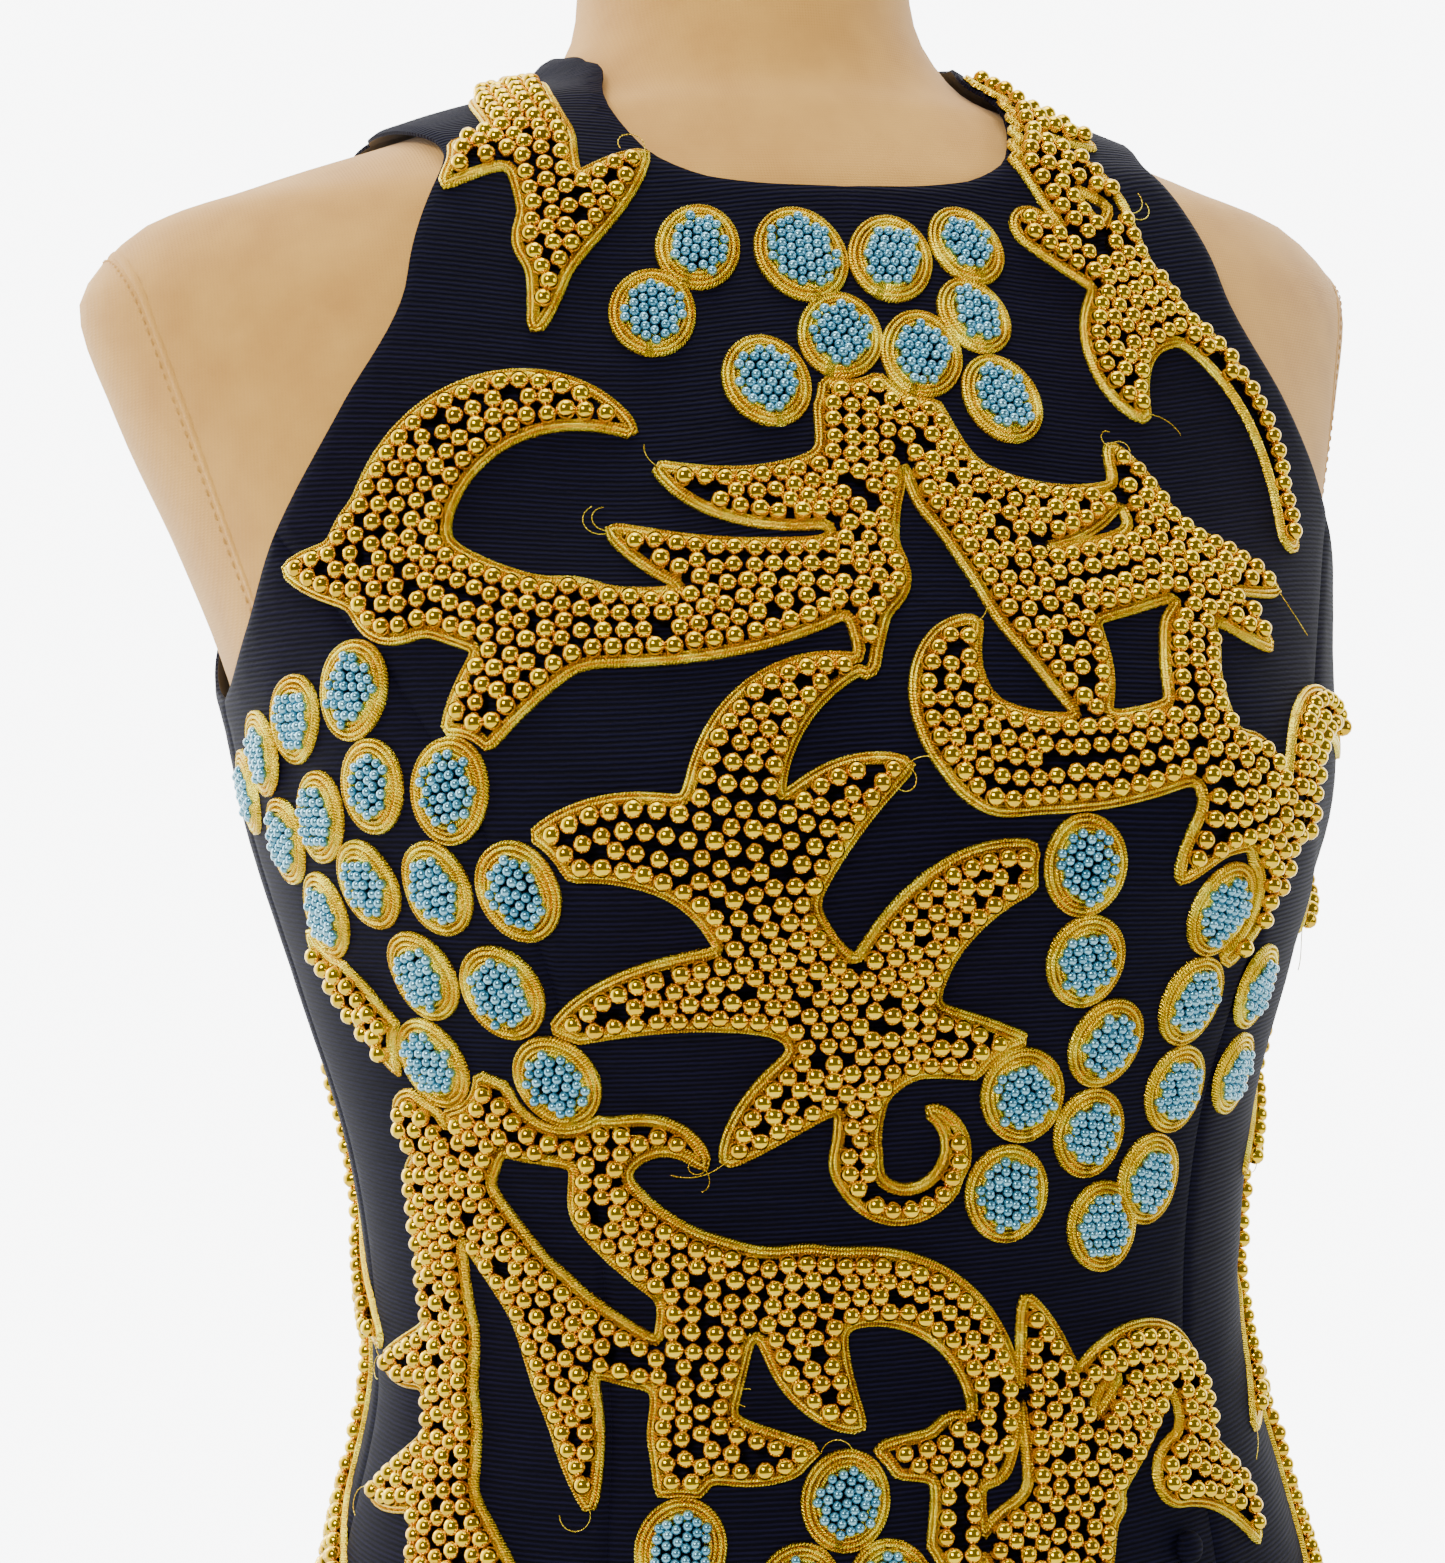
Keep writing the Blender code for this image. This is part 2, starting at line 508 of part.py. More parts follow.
def grapes():
    """Every grape as one disc on the cloth: centres in mm, and radii."""
    rows = [
        (math.radians(angle) * sign, height, radius)
        for bunch, sign in copies_of(BUNCHES) for angle, height, radius in bunch.grapes
    ]
    angle, height, radius = np.array(rows).T
    return on_figure(angle, run_at(height), CLOTH + LIFT), radius


STROKES, STROKE_RADII = vine_strokes()
GRAPES, GRAPE_RADII = grapes()
BUTTON_PLACES = np.array([[math.radians(side * BUTTON_ANGLE), run_at(BUTTON_Z)] for side in (1, -1)])
BUTTON_SPOTS = on_figure(BUTTON_PLACES[:, 0], BUTTON_PLACES[:, 1], CLOTH + LIFT)


def inside(outline, points):
    """Which points lie in a closed outline."""
    found = np.zeros(len(points), bool)
    for (ax, ay), (bx, by) in zip(outline, np.roll(outline, -1, axis=0)):
        crosses = (ay > points[:, 1]) != (by > points[:, 1])
        if ay != by:
            found ^= crosses & (points[:, 0] < (bx - ax) * (points[:, 1] - ay) / (by - ay) + ax)
    return found


def vine_depth(points):
    """How deep each point (angle, run) lies in the vine, in mm, below 0 outside it."""
    places = on_figure(points[:, 0], points[:, 1], CLOTH + LIFT)

    def depth_in(centres, radii):
        """The points near a row of discs, and how deep they lie in it."""
        reach = radii.max() + 9
        near = ((places > centres.min(0) - reach) & (places < centres.max(0) + reach)).all(1)
        away = np.linalg.norm(places[near, None] - centres, axis=2)
        return near, (radii - away).max(1)

    blended = np.full(len(points), math.exp(-9 / BLEND))
    for centres, radii in zip(STROKES, STROKE_RADII):
        near, deep = depth_in(centres, radii)
        blended[near] += np.exp(deep / BLEND)
    depth = BLEND * np.log(blended)
    for centre, radius in zip(GRAPES, GRAPE_RADII):
        near, deep = depth_in(centre[None], np.array([radius]))
        depth[near] = np.maximum(depth[near], deep)
    for spot in BUTTON_SPOTS:
        depth = np.minimum(depth, np.linalg.norm(places - spot, axis=1) - BUTTON_RADIUS - FROM_BUTTON)
    return depth


def edge_distance(outline, points):
    """Distance of each point from the outline's edge, in mm, as the points lie on the figure."""
    ends = np.roll(outline, -1, axis=0)
    part = np.linspace(0, 1, 5)[:, None, None]
    line = outline + (ends - outline) * part
    line = figure(line[..., 0], line[..., 1])
    starts, along = line[:-1].reshape(-1, 3), np.diff(line, axis=0).reshape(-1, 3)
    places = figure(points[:, 0], points[:, 1])
    nearest = []
    for block in np.array_split(places, len(places) // 1500 + 1):
        off = block[:, None] - starts
        u = np.clip((off * along).sum(-1) / (along**2).sum(-1), 0, 1)
        nearest.append(np.linalg.norm(off - u[..., None] * along, axis=2).min(1))
    return np.concatenate(nearest)


def contour(field, level):
    """Closed lines where a grid of values passes a level, in grid steps. The grid's rim lies below it."""
    above = field > level
    ends = {}

    def cross(i, j, k, n):
        a, b = field[i, j], field[k, n]
        u = (level - a) / (b - a)
        return (i + (k - i) * u, j + (n - j) * u)

    cells = above[:-1, :-1].astype(int) + 2 * above[1:, :-1] + 4 * above[1:, 1:] + 8 * above[:-1, 1:]
    for i, j in np.argwhere((cells > 0) & (cells < 15)):
        corners = ((i, j), (i + 1, j), (i + 1, j + 1), (i, j + 1))
        starts = [k for k in range(4) if above[corners[k]] and not above[corners[(k + 1) % 4]]]
        for k in starts:
            n = k
            while above[corners[n % 4]] or not above[corners[(n + 1) % 4]]:
                n += 1
            first = tuple(sorted((corners[k], corners[(k + 1) % 4])))
            last = tuple(sorted((corners[n % 4], corners[(n + 1) % 4])))
            ends[first] = last
    lines = []
    while ends:
        start, at = ends.popitem()
        line = [start]
        while at != start:
            line.append(at)
            at = ends.pop(at)
        lines.append(np.array([cross(*a, *b) for a, b in line]))
    return lines


def simplified(points, tolerance):
    """A closed line with the points left out that lie within a tolerance of it."""
    far = int(np.linalg.norm(points - points[0], axis=1).argmax())
    keep = {0, far}
    stack = [(0, far), (far, len(points))]
    closed = np.concatenate([points, points[:1]])
    while stack:
        a, b = stack.pop()
        if b - a < 2:
            continue
        along = closed[b] - closed[a]
        off = closed[a + 1:b] - closed[a]
        length = np.linalg.norm(along)
        if length > 0:
            u = np.clip(off @ along / length**2, 0, 1)
            off = off - u[:, None] * along
        away = np.linalg.norm(off, axis=1)
        k = int(away.argmax())
        if away[k] > tolerance:
            keep.add(a + 1 + k)
            stack += [(a, a + 1 + k), (a + 1 + k, b)]
    return sorted(keep)


def vine_outlines(outline):
    """The vine's foot and rim in one panel, as closed lines of (angle, run)."""
    low, high = outline.min(0), outline.max(0)
    low[1] = max(low[1], run_at(VINE_BOTTOM))
    angles = np.arange(low[0], high[0], FIELD / 135)
    runs = np.arange(low[1], high[1], FIELD)
    grid = np.stack(np.meshgrid(angles, runs, indexing="ij"), -1)
    flat = grid.reshape(-1, 2)
    field = np.full(len(flat), -9.0)
    within = inside(outline, flat)
    depth = vine_depth(flat[within])
    field[within] = np.minimum(depth, edge_distance(outline, flat[within]) - FROM_SEAM)
    field = field.reshape(grid.shape[:2])
    field[[0, -1]] = -9
    field[:, [0, -1]] = -9
    for level, shortest in ((0.0, SHORTEST_FOOT), (EDGE, SHORTEST_RIM)):
        for line in contour(field, level):
            places = np.stack([
                np.interp(line[:, 0], np.arange(len(angles)), angles),
                np.interp(line[:, 1], np.arange(len(runs)), runs),
            ], -1)
            spots = figure(places[:, 0], places[:, 1])
            if np.linalg.norm(np.diff(spots, axis=0), axis=1).sum() > shortest:
                yield places[simplified(spots, OUTLINE_TOLERANCE)]


def inner_points(outline):
    """Points spread over a panel's inside, closer together where the figure is closely curved."""
    low, high = outline.min(0), outline.max(0)
    points = []
    for k, run in enumerate(rows_up(low[1], high[1])[1:-1]):
        step = pitch_at(run).around / max(girth_scale(np.array([[low[0], run]]))[0], 110)
        angles = np.arange(low[0] + step * (0.5 + 0.5 * (k % 2)), high[0], step)
        points += [(a, run) for a in angles]
    points = np.array(points)
    points = points[inside(outline, points)]
    clear = np.array([0.36 * pitch_at(run).around for run in points[:, 1]])
    points = points[edge_distance(outline, points) > clear]
    return np.concatenate([points, BUTTON_PLACES[inside(outline, BUTTON_PLACES)]])


def triangles(outline, points, loops):
    """Constrained triangles of a panel: their points (angle, run) and faces, the outline's points first."""
    scale = np.array([140.0, 1.0])
    coords = [Vector(p) for p in np.concatenate([outline, points, *loops]) * scale]
    edges = [(i, (i + 1) % len(outline)) for i in range(len(outline))]
    base = len(outline) + len(points)
    for loop in loops:
        edges += [(base + i, base + (i + 1) % len(loop)) for i in range(len(loop))]
        base += len(loop)
    verts, _, faces, *_ = geometry.delaunay_2d_cdt(coords, edges, [], 1, 1e-4)
    return np.array([tuple(v) for v in verts]) / scale, np.array([tuple(f) for f in faces])


def panel_mesh(name, outline):
    """A cloth wall over the figure: a plain inside, and an outside with the vine raised in it."""
    loops = list(vine_outlines(outline))
    spread = inner_points(outline)
    plain = spread[vine_depth(spread) < -CLEAR_OF_VINE]
    outer, outer_faces = triangles(outline, plain, loops)
    inner, inner_faces = triangles(outline, spread, [])
    rim = len(outline)
    deep = np.minimum(vine_depth(outer), edge_distance(outline, outer) - FROM_SEAM)
    raised = RELIEF * np.clip(deep / EDGE, 0, 1)
    raised[:rim] = 0
    raised[height_at(outer[:, 1]) < VINE_BOTTOM] = 0
    top = on_figure(outer[:, 0], outer[:, 1], LIFT + CLOTH + raised)
    under = on_figure(inner[:, 0], inner[:, 1], LIFT)
    faces = [tuple(f) for f in outer_faces]
    faces += [tuple(len(outer) + i for i in reversed(f)) for f in inner_faces]
    for i in range(rim):
        k = (i + 1) % rim
        faces.append((k, i, len(outer) + i, len(outer) + k))
    return make_mesh(name, np.concatenate([top, under]), faces, "cloth")


def material(name, roughness=0.8, metallic=0.0):
    """The part's material of a colour in COLOURS, made once."""
    found = bpy.data.materials.get(name)
    if found:
        return found
    made = bpy.data.materials.new(name)
    made.use_nodes = True
    shader = made.node_tree.nodes["Principled BSDF"]
    shader.inputs["Base Color"].default_value = COLOURS[name]
    shader.inputs["Roughness"].default_value = roughness
    shader.inputs["Metallic"].default_value = metallic
    made.diffuse_color = COLOURS[name]
    return made


def finish_object(obj, kind, smooth=35):
    """Puts an object into the part's collection, with its material and smooth shading."""
    own = bpy.data.materials.get(f"{kind}_{obj.name}")
    if own is None:
        own = material(kind).copy()
        own.name = f"{kind}_{obj.name}"
    obj.data.materials.clear()
    obj.data.materials.append(own)
    for collection in list(obj.users_collection):
        collection.objects.unlink(obj)
    bpy.data.collections["beaded_dress"].objects.link(obj)
    obj.data.shade_smooth()
    obj.data.set_sharp_from_angle(angle=math.radians(smooth))
    return obj


def make_mesh(name, points, faces, kind):
    """An object from points in mm and faces, with its normals turned out."""
    mesh = bpy.data.meshes.new(name)
    mesh.from_pydata([tuple(p * MM) for p in points], [], faces)
    work = bmesh.new()
    work.from_mesh(mesh)
    bmesh.ops.recalc_face_normals(work, faces=work.faces)
    work.to_mesh(mesh)
    work.free()
    obj = bpy.data.objects.new(name, mesh)
    bpy.context.scene.collection.objects.link(obj)
    return finish_object(obj, kind)


def make_dress():
    left = {
        "side_front": side_front_outline(), "side_back": side_back_outline(), "back": back_outline(),
    }
    panel_mesh("front_centre", front_centre_outline())
    for name, outline in left.items():
        panel_mesh(f"{name}_left", outline)
        panel_mesh(f"{name}_right", mirrored(outline))


def make_form():
    """The linen form: the figure's rings from its bottom to the neck, closed flat at both ends."""
    sides = 40
    runs = np.unique(np.concatenate([
        steps(run_at(FORM_BOTTOM), run_at(960), 40), steps(run_at(960), run_at(1340), 24),
        steps(run_at(1340), run_at(FORM_TOP), 12),
    ]).round(3))
    angles = np.arange(sides) * 2 * math.pi / sides
    points = on_figure(angles[None], runs[:, None], -1.0).reshape(-1, 3)
    faces = []
    for k in range(len(runs) - 1):
        for i in range(sides):
            a, b = k * sides + i, k * sides + (i + 1) % sides
            faces.append((a, b, b + sides, a + sides))
    faces += [tuple(range(sides)), tuple(len(points) - sides + i for i in range(sides))]
    make_mesh("dress_form", points, faces, "linen")


def make_turned(name, profile, kind, sides=36):
    """A turned piece: a profile of (radius, height) in mm, top to bottom down its outer side."""
    mesh = bpy.data.meshes.new(name)
    line = [(i, i + 1) for i in range(len(profile) - 1)]
    mesh.from_pydata([(r * MM, 0, z * MM) for r, z in profile], line, [])
    obj = bpy.data.objects.new(name, mesh)
    bpy.context.scene.collection.objects.link(obj)
    screw = obj.modifiers.new("turn", "SCREW")
    screw.steps = screw.render_steps = sides
    screw.use_merge_vertices = True
    screw.merge_threshold = 0.0001
    return finish_object(obj, kind)


def make_stand():
    rim, top = FOOT_RADIUS, FOOT_THICK
    make_turned("foot", [
        (0, top + 26), (FOOT_BOSS - 2, top + 26), (FOOT_BOSS, top + 24), (FOOT_BOSS + 2, top + 6),
        (FOOT_BOSS + 8, top + 2), (rim - 14, top - 6), (rim - 4, top - 11), (rim, top - 17),
        (rim, 2), (rim - 2, 0), (0, 0),
    ], "wood")
    low, high = top + 26 + SEAM, FORM_BOTTOM - SEAM
    make_turned("pole", [(0, high), (POLE_RADIUS, high), (POLE_RADIUS, low), (0, low)], "metal", 28)


def back_spot(height, out):
    """A point on the centre back line and the normal there, in mm."""
    run = run_at(height)
    return on_figure(math.pi, run, out), figure_frame(math.pi, run)[2]


def make_zip():
    """The chain between the back panels, a slider near its top, and a pull tab that swings on its pin."""
    runs = steps(run_at(ZIP_BOTTOM), run_at(ZIP_TOP), 16)
    section = [(-1, 0), (1, 0), (1, 1), (-1, 1)]
    points = []
    for run in runs:
        spot, normal = on_figure(math.pi, run, LIFT), figure_frame(math.pi, run)[2]
        for side, out in section:
            points.append(spot + np.array([side * CHAIN_WIDE / 2, 0, 0]) + normal * out * CHAIN_THICK)
    faces = [tuple(range(4)), tuple(len(points) - 4 + i for i in range(4))]
    for k in range(len(runs) - 1):
        for i in range(4):
            a, b = 4 * k + i, 4 * k + (i + 1) % 4
            faces.append((a, b, b + 4, a + 4))
    make_mesh("zip_chain", np.array(points), faces, "metal")


def box_between(name, low, high):
    """A box between two corners in mm, in the slider's own axes."""
    bpy.ops.mesh.primitive_cube_add(size=1)
    obj = bpy.context.object
    obj.name = obj.data.name = name
    size = (np.array(high) - low) * MM
    middle = (np.array(high) + low) / 2 * MM
    for vertex in obj.data.vertices:
        vertex.co = Vector(np.array(vertex.co) * size + middle)
    return obj


def cylinder_along_x(name, radius, length, y, z, sides=20):
    bpy.ops.mesh.primitive_cylinder_add(
        radius=radius * MM, depth=length * MM, vertices=sides,
        rotation=(0, math.pi / 2, 0), location=(0, y * MM, z * MM),
    )
    obj = bpy.context.object
    obj.name = obj.data.name = name
    bpy.ops.object.transform_apply(location=True, rotation=True)
    return obj


def combine(target, other, operation):
    """Joins another mesh to the target, or cuts it out, and removes it."""
    step = target.modifiers.new(operation, "BOOLEAN")
    step.operation = operation
    step.object = other
    step.solver = "EXACT"
    bpy.context.view_layer.objects.active = target
    bpy.ops.object.modifier_apply(modifier=step.name)
    bpy.data.objects.remove(other, do_unlink=True)


def make_slider():
    """Slider and pull tab in their own axes, y out from the cloth and z up it, then laid on the back."""
    spot, normal = back_spot(ZIP_TOP - SLIDER_TALL, LIFT + CHAIN_THICK + SEAM)
    lean = math.atan2(normal[2], normal[1])
    pin_y = SLIDER_THICK + PIN_OUT
    wide, tall = SLIDER_WIDE / 2, SLIDER_TALL / 2
    body = box_between("zip_slider", (-wide, 0, -tall), (wide, SLIDER_THICK, tall))
    half = TAB_WIDE / 2 + SEAM
    for side in (-1, 1):
        inner, outer = sorted((side * half, side * (half + LUG)))
        lug = box_between("lug", (inner, SLIDER_THICK - 0.5, -1.5), (outer, pin_y + 1.5, 1.5))
        combine(body, lug, "UNION")
    pin = cylinder_along_x("pin", PIN_RADIUS, 2 * (half + LUG * 0.6), pin_y, 0)
    combine(body, pin, "UNION")
    tab = cylinder_along_x("zip_pull_tab", TAB_EYE - 0.7, TAB_WIDE, pin_y, 0, 24)
    wide, thick = TAB_WIDE / 2, TAB_THICK / 2
    blade = box_between("blade", (-wide, pin_y - thick, -TAB_LONG), (wide, pin_y + thick, 0))
    combine(tab, blade, "UNION")
    hole = cylinder_along_x("eye", PIN_RADIUS + SEAM, TAB_WIDE + 2, pin_y, 0, 20)
    combine(tab, hole, "DIFFERENCE")
    for obj in (body, tab):
        for vertex in obj.data.vertices:
            x, y, z = vertex.co
            turned_y = y * math.cos(lean) - z * math.sin(lean)
            turned_z = y * math.sin(lean) + z * math.cos(lean)
            vertex.co = (x, turned_y + spot[1] * MM, turned_z + spot[2] * MM)
        finish_object(obj, "metal")


def make_buttons():
    """Covered buttons: turned domes that face out from the cloth."""
    r, t = BUTTON_RADIUS, BUTTON_THICK
    profile = [
        (0, t * 0.88), (r * 0.18, t * 0.9), (r * 0.42, t), (r * 0.72, t * 0.9), (r * 0.93, t * 0.6),
        (r, t * 0.3), (r * 0.9, 0.0), (0, 0),
    ]
    for name, (angle, run) in zip(("hip_button_left", "hip_button_right"), BUTTON_PLACES):
        normal = Vector(figure_frame(angle, run)[2])
        button = make_turned(name, profile, "cloth", 14)
        button.location = Vector(on_figure(angle, run, LIFT + CLOTH + BUTTON_GAP)) * MM
        button.rotation_mode = "QUATERNION"
        button.rotation_quaternion = normal.to_track_quat("Z", "Y")


def main():
    for obj in list(bpy.data.objects):
        bpy.data.objects.remove(obj, do_unlink=True)
    parts = bpy.data.collections.new("beaded_dress")
    bpy.context.scene.collection.children.link(parts)
    make_form()
    make_stand()
    make_dress()
    make_zip()
    make_slider()
    make_buttons()


main()
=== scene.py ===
"""Looks of a beaded cocktail dress on a limbless dress form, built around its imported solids.

The dress is cut from ribbed cloth in seven panels, with a zip at the centre back and two covered buttons.
A vine of leaf sprays and grape bunches is sewn over it: gold braid along every edge, plated beads inside
the leaves and stems, and blue pearl beads inside the grapes. All of it is placed on one chart of the
figure, an angle from centre front and a run up the figure's side, so that cloth, braid and beads keep
together. The tables are in millimetres and degrees, and the meshes are made in metres.
"""

import logging
import math
from dataclasses import dataclass, field
from enum import Enum
from typing import Any, NamedTuple, Sequence

import bpy
import numpy as np
from mathutils import Matrix, Vector, geometry


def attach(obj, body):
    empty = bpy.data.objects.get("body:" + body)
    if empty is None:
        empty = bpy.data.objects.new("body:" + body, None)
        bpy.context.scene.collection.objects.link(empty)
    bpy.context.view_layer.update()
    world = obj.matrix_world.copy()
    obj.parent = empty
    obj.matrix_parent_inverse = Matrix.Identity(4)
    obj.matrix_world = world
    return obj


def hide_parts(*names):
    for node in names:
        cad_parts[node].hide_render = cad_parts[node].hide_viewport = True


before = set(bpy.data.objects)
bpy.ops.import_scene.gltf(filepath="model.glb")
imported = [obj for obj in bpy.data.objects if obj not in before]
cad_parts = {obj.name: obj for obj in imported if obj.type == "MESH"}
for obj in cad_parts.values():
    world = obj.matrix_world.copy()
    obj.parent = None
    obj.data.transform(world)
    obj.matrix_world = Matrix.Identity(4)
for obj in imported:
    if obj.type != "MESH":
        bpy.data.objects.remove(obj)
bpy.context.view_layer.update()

LOG = logging.getLogger("beaded_dress")
MM = 0.001
DRESS_BODY = "dress_on_form"
PHOTO_TALL = 1563

# The bands of a wave texture are this far apart at a scale of 1
WAVE_UNIT = 0.31416


class Ring(NamedTuple):
    """A level ring of the figure; front and back are depths from its widest line."""

    name: str
    height: float
    half_width: float
    front: float
    back: float
    set_back: float
    squareness: float


RINGS = (
    Ring("hem", 520, 160, 112, 116, 0, 2.15),
    Ring("thigh", 680, 168, 115, 124, 0, 2.15),
    Ring("hip", 850, 169, 114, 126, 0, 2.2),
    Ring("high_hip", 950, 150, 106, 110, 0, 2.2),
    Ring("below_waist", 1010, 133, 101, 91, 0, 2.2),
    Ring("waist", 1060, 122, 98, 82, 0, 2.2),
    Ring("ribs", 1120, 127, 105, 88, 0, 2.25),
    Ring("under_bust", 1165, 139, 117, 96, 0, 2.3),
    Ring("bust", 1210, 151, 127, 103, 1, 2.35),
    Ring("underarm", 1245, 157, 122, 104, 4, 2.3),
    Ring("chest", 1285, 170, 113, 96, 12, 2.1),
    Ring("upper_chest", 1325, 186, 106, 84, 20, 1.95),
    Ring("shoulder_cap", 1354, 194, 98, 74, 24, 1.9),
    Ring("cap_top", 1374, 181, 91, 68, 25, 1.9),
    Ring("shoulder", 1387, 150, 84, 62, 25, 1.9),
    Ring("inner_shoulder", 1401, 106, 75, 56, 24, 1.95),
    Ring("neck_base", 1417, 63, 63, 51, 20, 2.0),
    Ring("low_neck", 1431, 52, 57, 49, 16, 2.0),
    Ring("neck", 1460, 48.5, 53, 48, 13, 2.0),
    Ring("neck_top", 1496, 47.5, 52, 48, 11, 2.0),
)

# The two swells of the bust, above the rings
BUST_X, BUST_Z, BUST_OUT, BUST_WIDE, BUST_TALL = 84, 1208, 10, 46, 48

CLOTH = 1.8
LIFT = 1.9
SEAM = 0.3
HEM_Z, SKIRT_TOP, WAIST_Z = 520, 930, 1060
TOP_OF_CLOTH = LIFT + CLOTH


class Place(NamedTuple):
    """A place on the figure: height and angle from centre front."""

    height: float
    angle: float


FRONT_SEAM = (
    Place(520, 40), Place(850, 42), Place(960, 45), Place(1060, 45), Place(1127, 44),
    Place(1177, 45), Place(1210, 49), Place(1245, 57), Place(1268, 64), Place(1286, 69),
)
BACK_SEAM = (
    Place(520, 140), Place(850, 139), Place(1060, 137), Place(1150, 133), Place(1210, 127),
    Place(1250, 119), Place(1286, 111),
)
ARMHOLE_FRONT = (
    Place(1245, 90), Place(1249, 84), Place(1263, 75.5), Place(1286, 69), Place(1318, 61),
    Place(1350, 56), Place(1376, 56), Place(1388, 60), Place(1396, 72), Place(1400, 90),
)
ARMHOLE_BACK = (
    Place(1245, 90), Place(1249, 96), Place(1263, 104.5), Place(1286, 111), Place(1318, 117),
    Place(1350, 119), Place(1376, 117), Place(1388, 111), Place(1396, 102), Place(1400, 90),
)
NECKLINE = (
    Place(1373, 0), Place(1374.5, 18), Place(1377, 25), Place(1382, 31), Place(1392, 37),
    Place(1401, 42), Place(1410, 48), Place(1417, 58), Place(1421, 72), Place(1424, 90),
    Place(1424, 110), Place(1420, 140), Place(1416, 165), Place(1415, 180),
)

ZIP_BOTTOM, ZIP_TOP = 965, 1405
CHAIN_WIDE = 5.0
BUTTON_RADIUS, BUTTON_THICK, BUTTON_ANGLE, BUTTON_Z, BUTTON_GAP = 4.6, 3.6, 39, 1008, 0.6
FORM_BOTTOM, FORM_TOP, FORM_OUT = 842, 1496, -1.0
VINE_BOTTOM, VINE_TOP = 940, 1425

# About how many mm a radian is round the figure, where only the order or the density hangs on it
GIRTH, PANEL_GIRTH, ARMHOLE_GIRTH = 138, 140.0, 130
# The depth of a place outside the vine, in mm
OUTSIDE = -9
# A grape's longer and shorter half, as shares of its radius
OVAL_LONG, OVAL_SHORT = 1.04, 0.90


class Stem(NamedTuple):
    """A stem that walks over the cloth: heading 0 is to the wearer's left, 90 is up.

    One with a thin end of 0 tapers as a leaf does. A row with 2 copies is on both sides.
    """

    name: str
    angle: float
    height: float
    heading: float
    length: float
    turn: float
    wide: float
    thin: float
    copies: int


STEMS = (
    Stem("right_shoulder", -62, 1404, -56, 100, -56, 11, 0, 1),
    Stem("chest_sweep", -15, 1261, 200, 118, -62, 10, 12.5, 1),
    Stem("chest_hook", -56, 1268, 112, 98, -164, 14.5, 0, 1),
    Stem("twin_right", -4, 1320, -94, 90, -6, 11.5, 0, 1),
    Stem("twin_left", 2, 1318, -76, 72, 16, 9, 12.5, 1),
    Stem("twin_bridge", 14, 1262, 2, 50, 22, 12.5, 11.5, 1),
    Stem("left_shoulder", 50, 1408, -128, 64, 74, 9, 7, 1),
    Stem("left_bend", 30, 1362, -42, 40, 24, 7, 7, 1),
    Stem("left_arm", 42, 1342, -18, 84, -92, 7, 5, 1),
    Stem("bust_wing", 27, 1222, 194, 48, -24, 11, 13, 1),
    Stem("bust_fork", 33, 1248, -116, 46, 66, 9, 11.5, 1),
    Stem("bust_tail", 37, 1213, -40, 64, -112, 11.5, 0, 1),
    Stem("side_arch", 46, 1204, 85, 70, -150, 10, 0, 1),
    Stem("centre", -25, 1198, -60, 62, 8, 12.5, 12.5, 1),
    Stem("centre_foot", -13, 1155, -4, 50, -16, 12.5, 7, 1),
    Stem("tendril", -9, 1152, -102, 32, 12, 7, 6, 1),
    Stem("waist_hook", -19, 1088, 178, 54, -52, 12.5, 10, 1),
    Stem("waist_leaf", -31, 1090, -100, 68, -2, 12.5, 0, 1),
    Stem("waist_arch", -19, 1086, 22, 84, -134, 11.5, 7, 1),
    Stem("waist_tongue", -19, 1088, -98, 42, 62, 11.5, 0, 1),
    Stem("low_turn", 3, 1047, -88, 74, -34, 7, 10, 1),
    Stem("low_blade", 20, 1022, 88, 64, 24, 12.5, 0, 1),
    Stem("low_sweep", 12, 1018, 26, 60, 28, 11.5, 10, 1),
    Stem("hook", 44, 1033, 68, 100, 262, 9, 4, 1),
    Stem("low_right", 40, 1028, -5, 46, -75, 10, 0, 1),
    Stem("low_base", 21, 1019, -100, 62, 10, 12.5, 10, 1),
    Stem("low_left", -36, 1004, -96, 52, 8, 11.5, 10, 1),
    Stem("side_vine", -75, 1180, -60, 74, 40, 7, 10, 1),
    Stem("side_two", -66, 1133, -62, 62, 10, 10, 10, 1),
    Stem("side_three", -67, 1115, -92, 152, 4, 10, 11.5, 1),
    Stem("far_arm", 80, 1234, -96, 74, 14, 9, 9, 1),
    Stem("far_vine", 80, 1138, -90, 172, -6, 10, 10, 1),
    Stem("back_shoulder", -120, 1396, -118, 84, 48, 10, 0, 2),
    Stem("back_twin", -171, 1332, -94, 92, 14, 10, 0, 2),
    Stem("back_sweep", -162, 1258, -20, 96, 56, 10, 12.5, 2),
    Stem("back_hook", -131, 1274, 44, 100, 184, 13.5, 0, 2),
    Stem("back_centre", -154, 1210, -98, 86, 16, 12.5, 11.5, 2),
    Stem("back_scroll", -150, 1122, -60, 116, -205, 11.5, 5, 2),
    Stem("back_low", -162, 1086, -92, 94, -8, 11.5, 11.5, 2),
    Stem("back_side", -108, 1136, -86, 176, 8, 10, 10, 2),
)


class Leaf(NamedTuple):
    """A leaf that leaves its stem at a part of its length and turns as it grows."""

    stem: str
    at: float
    spread: float
    length: float
    turn: float
    half_width: float


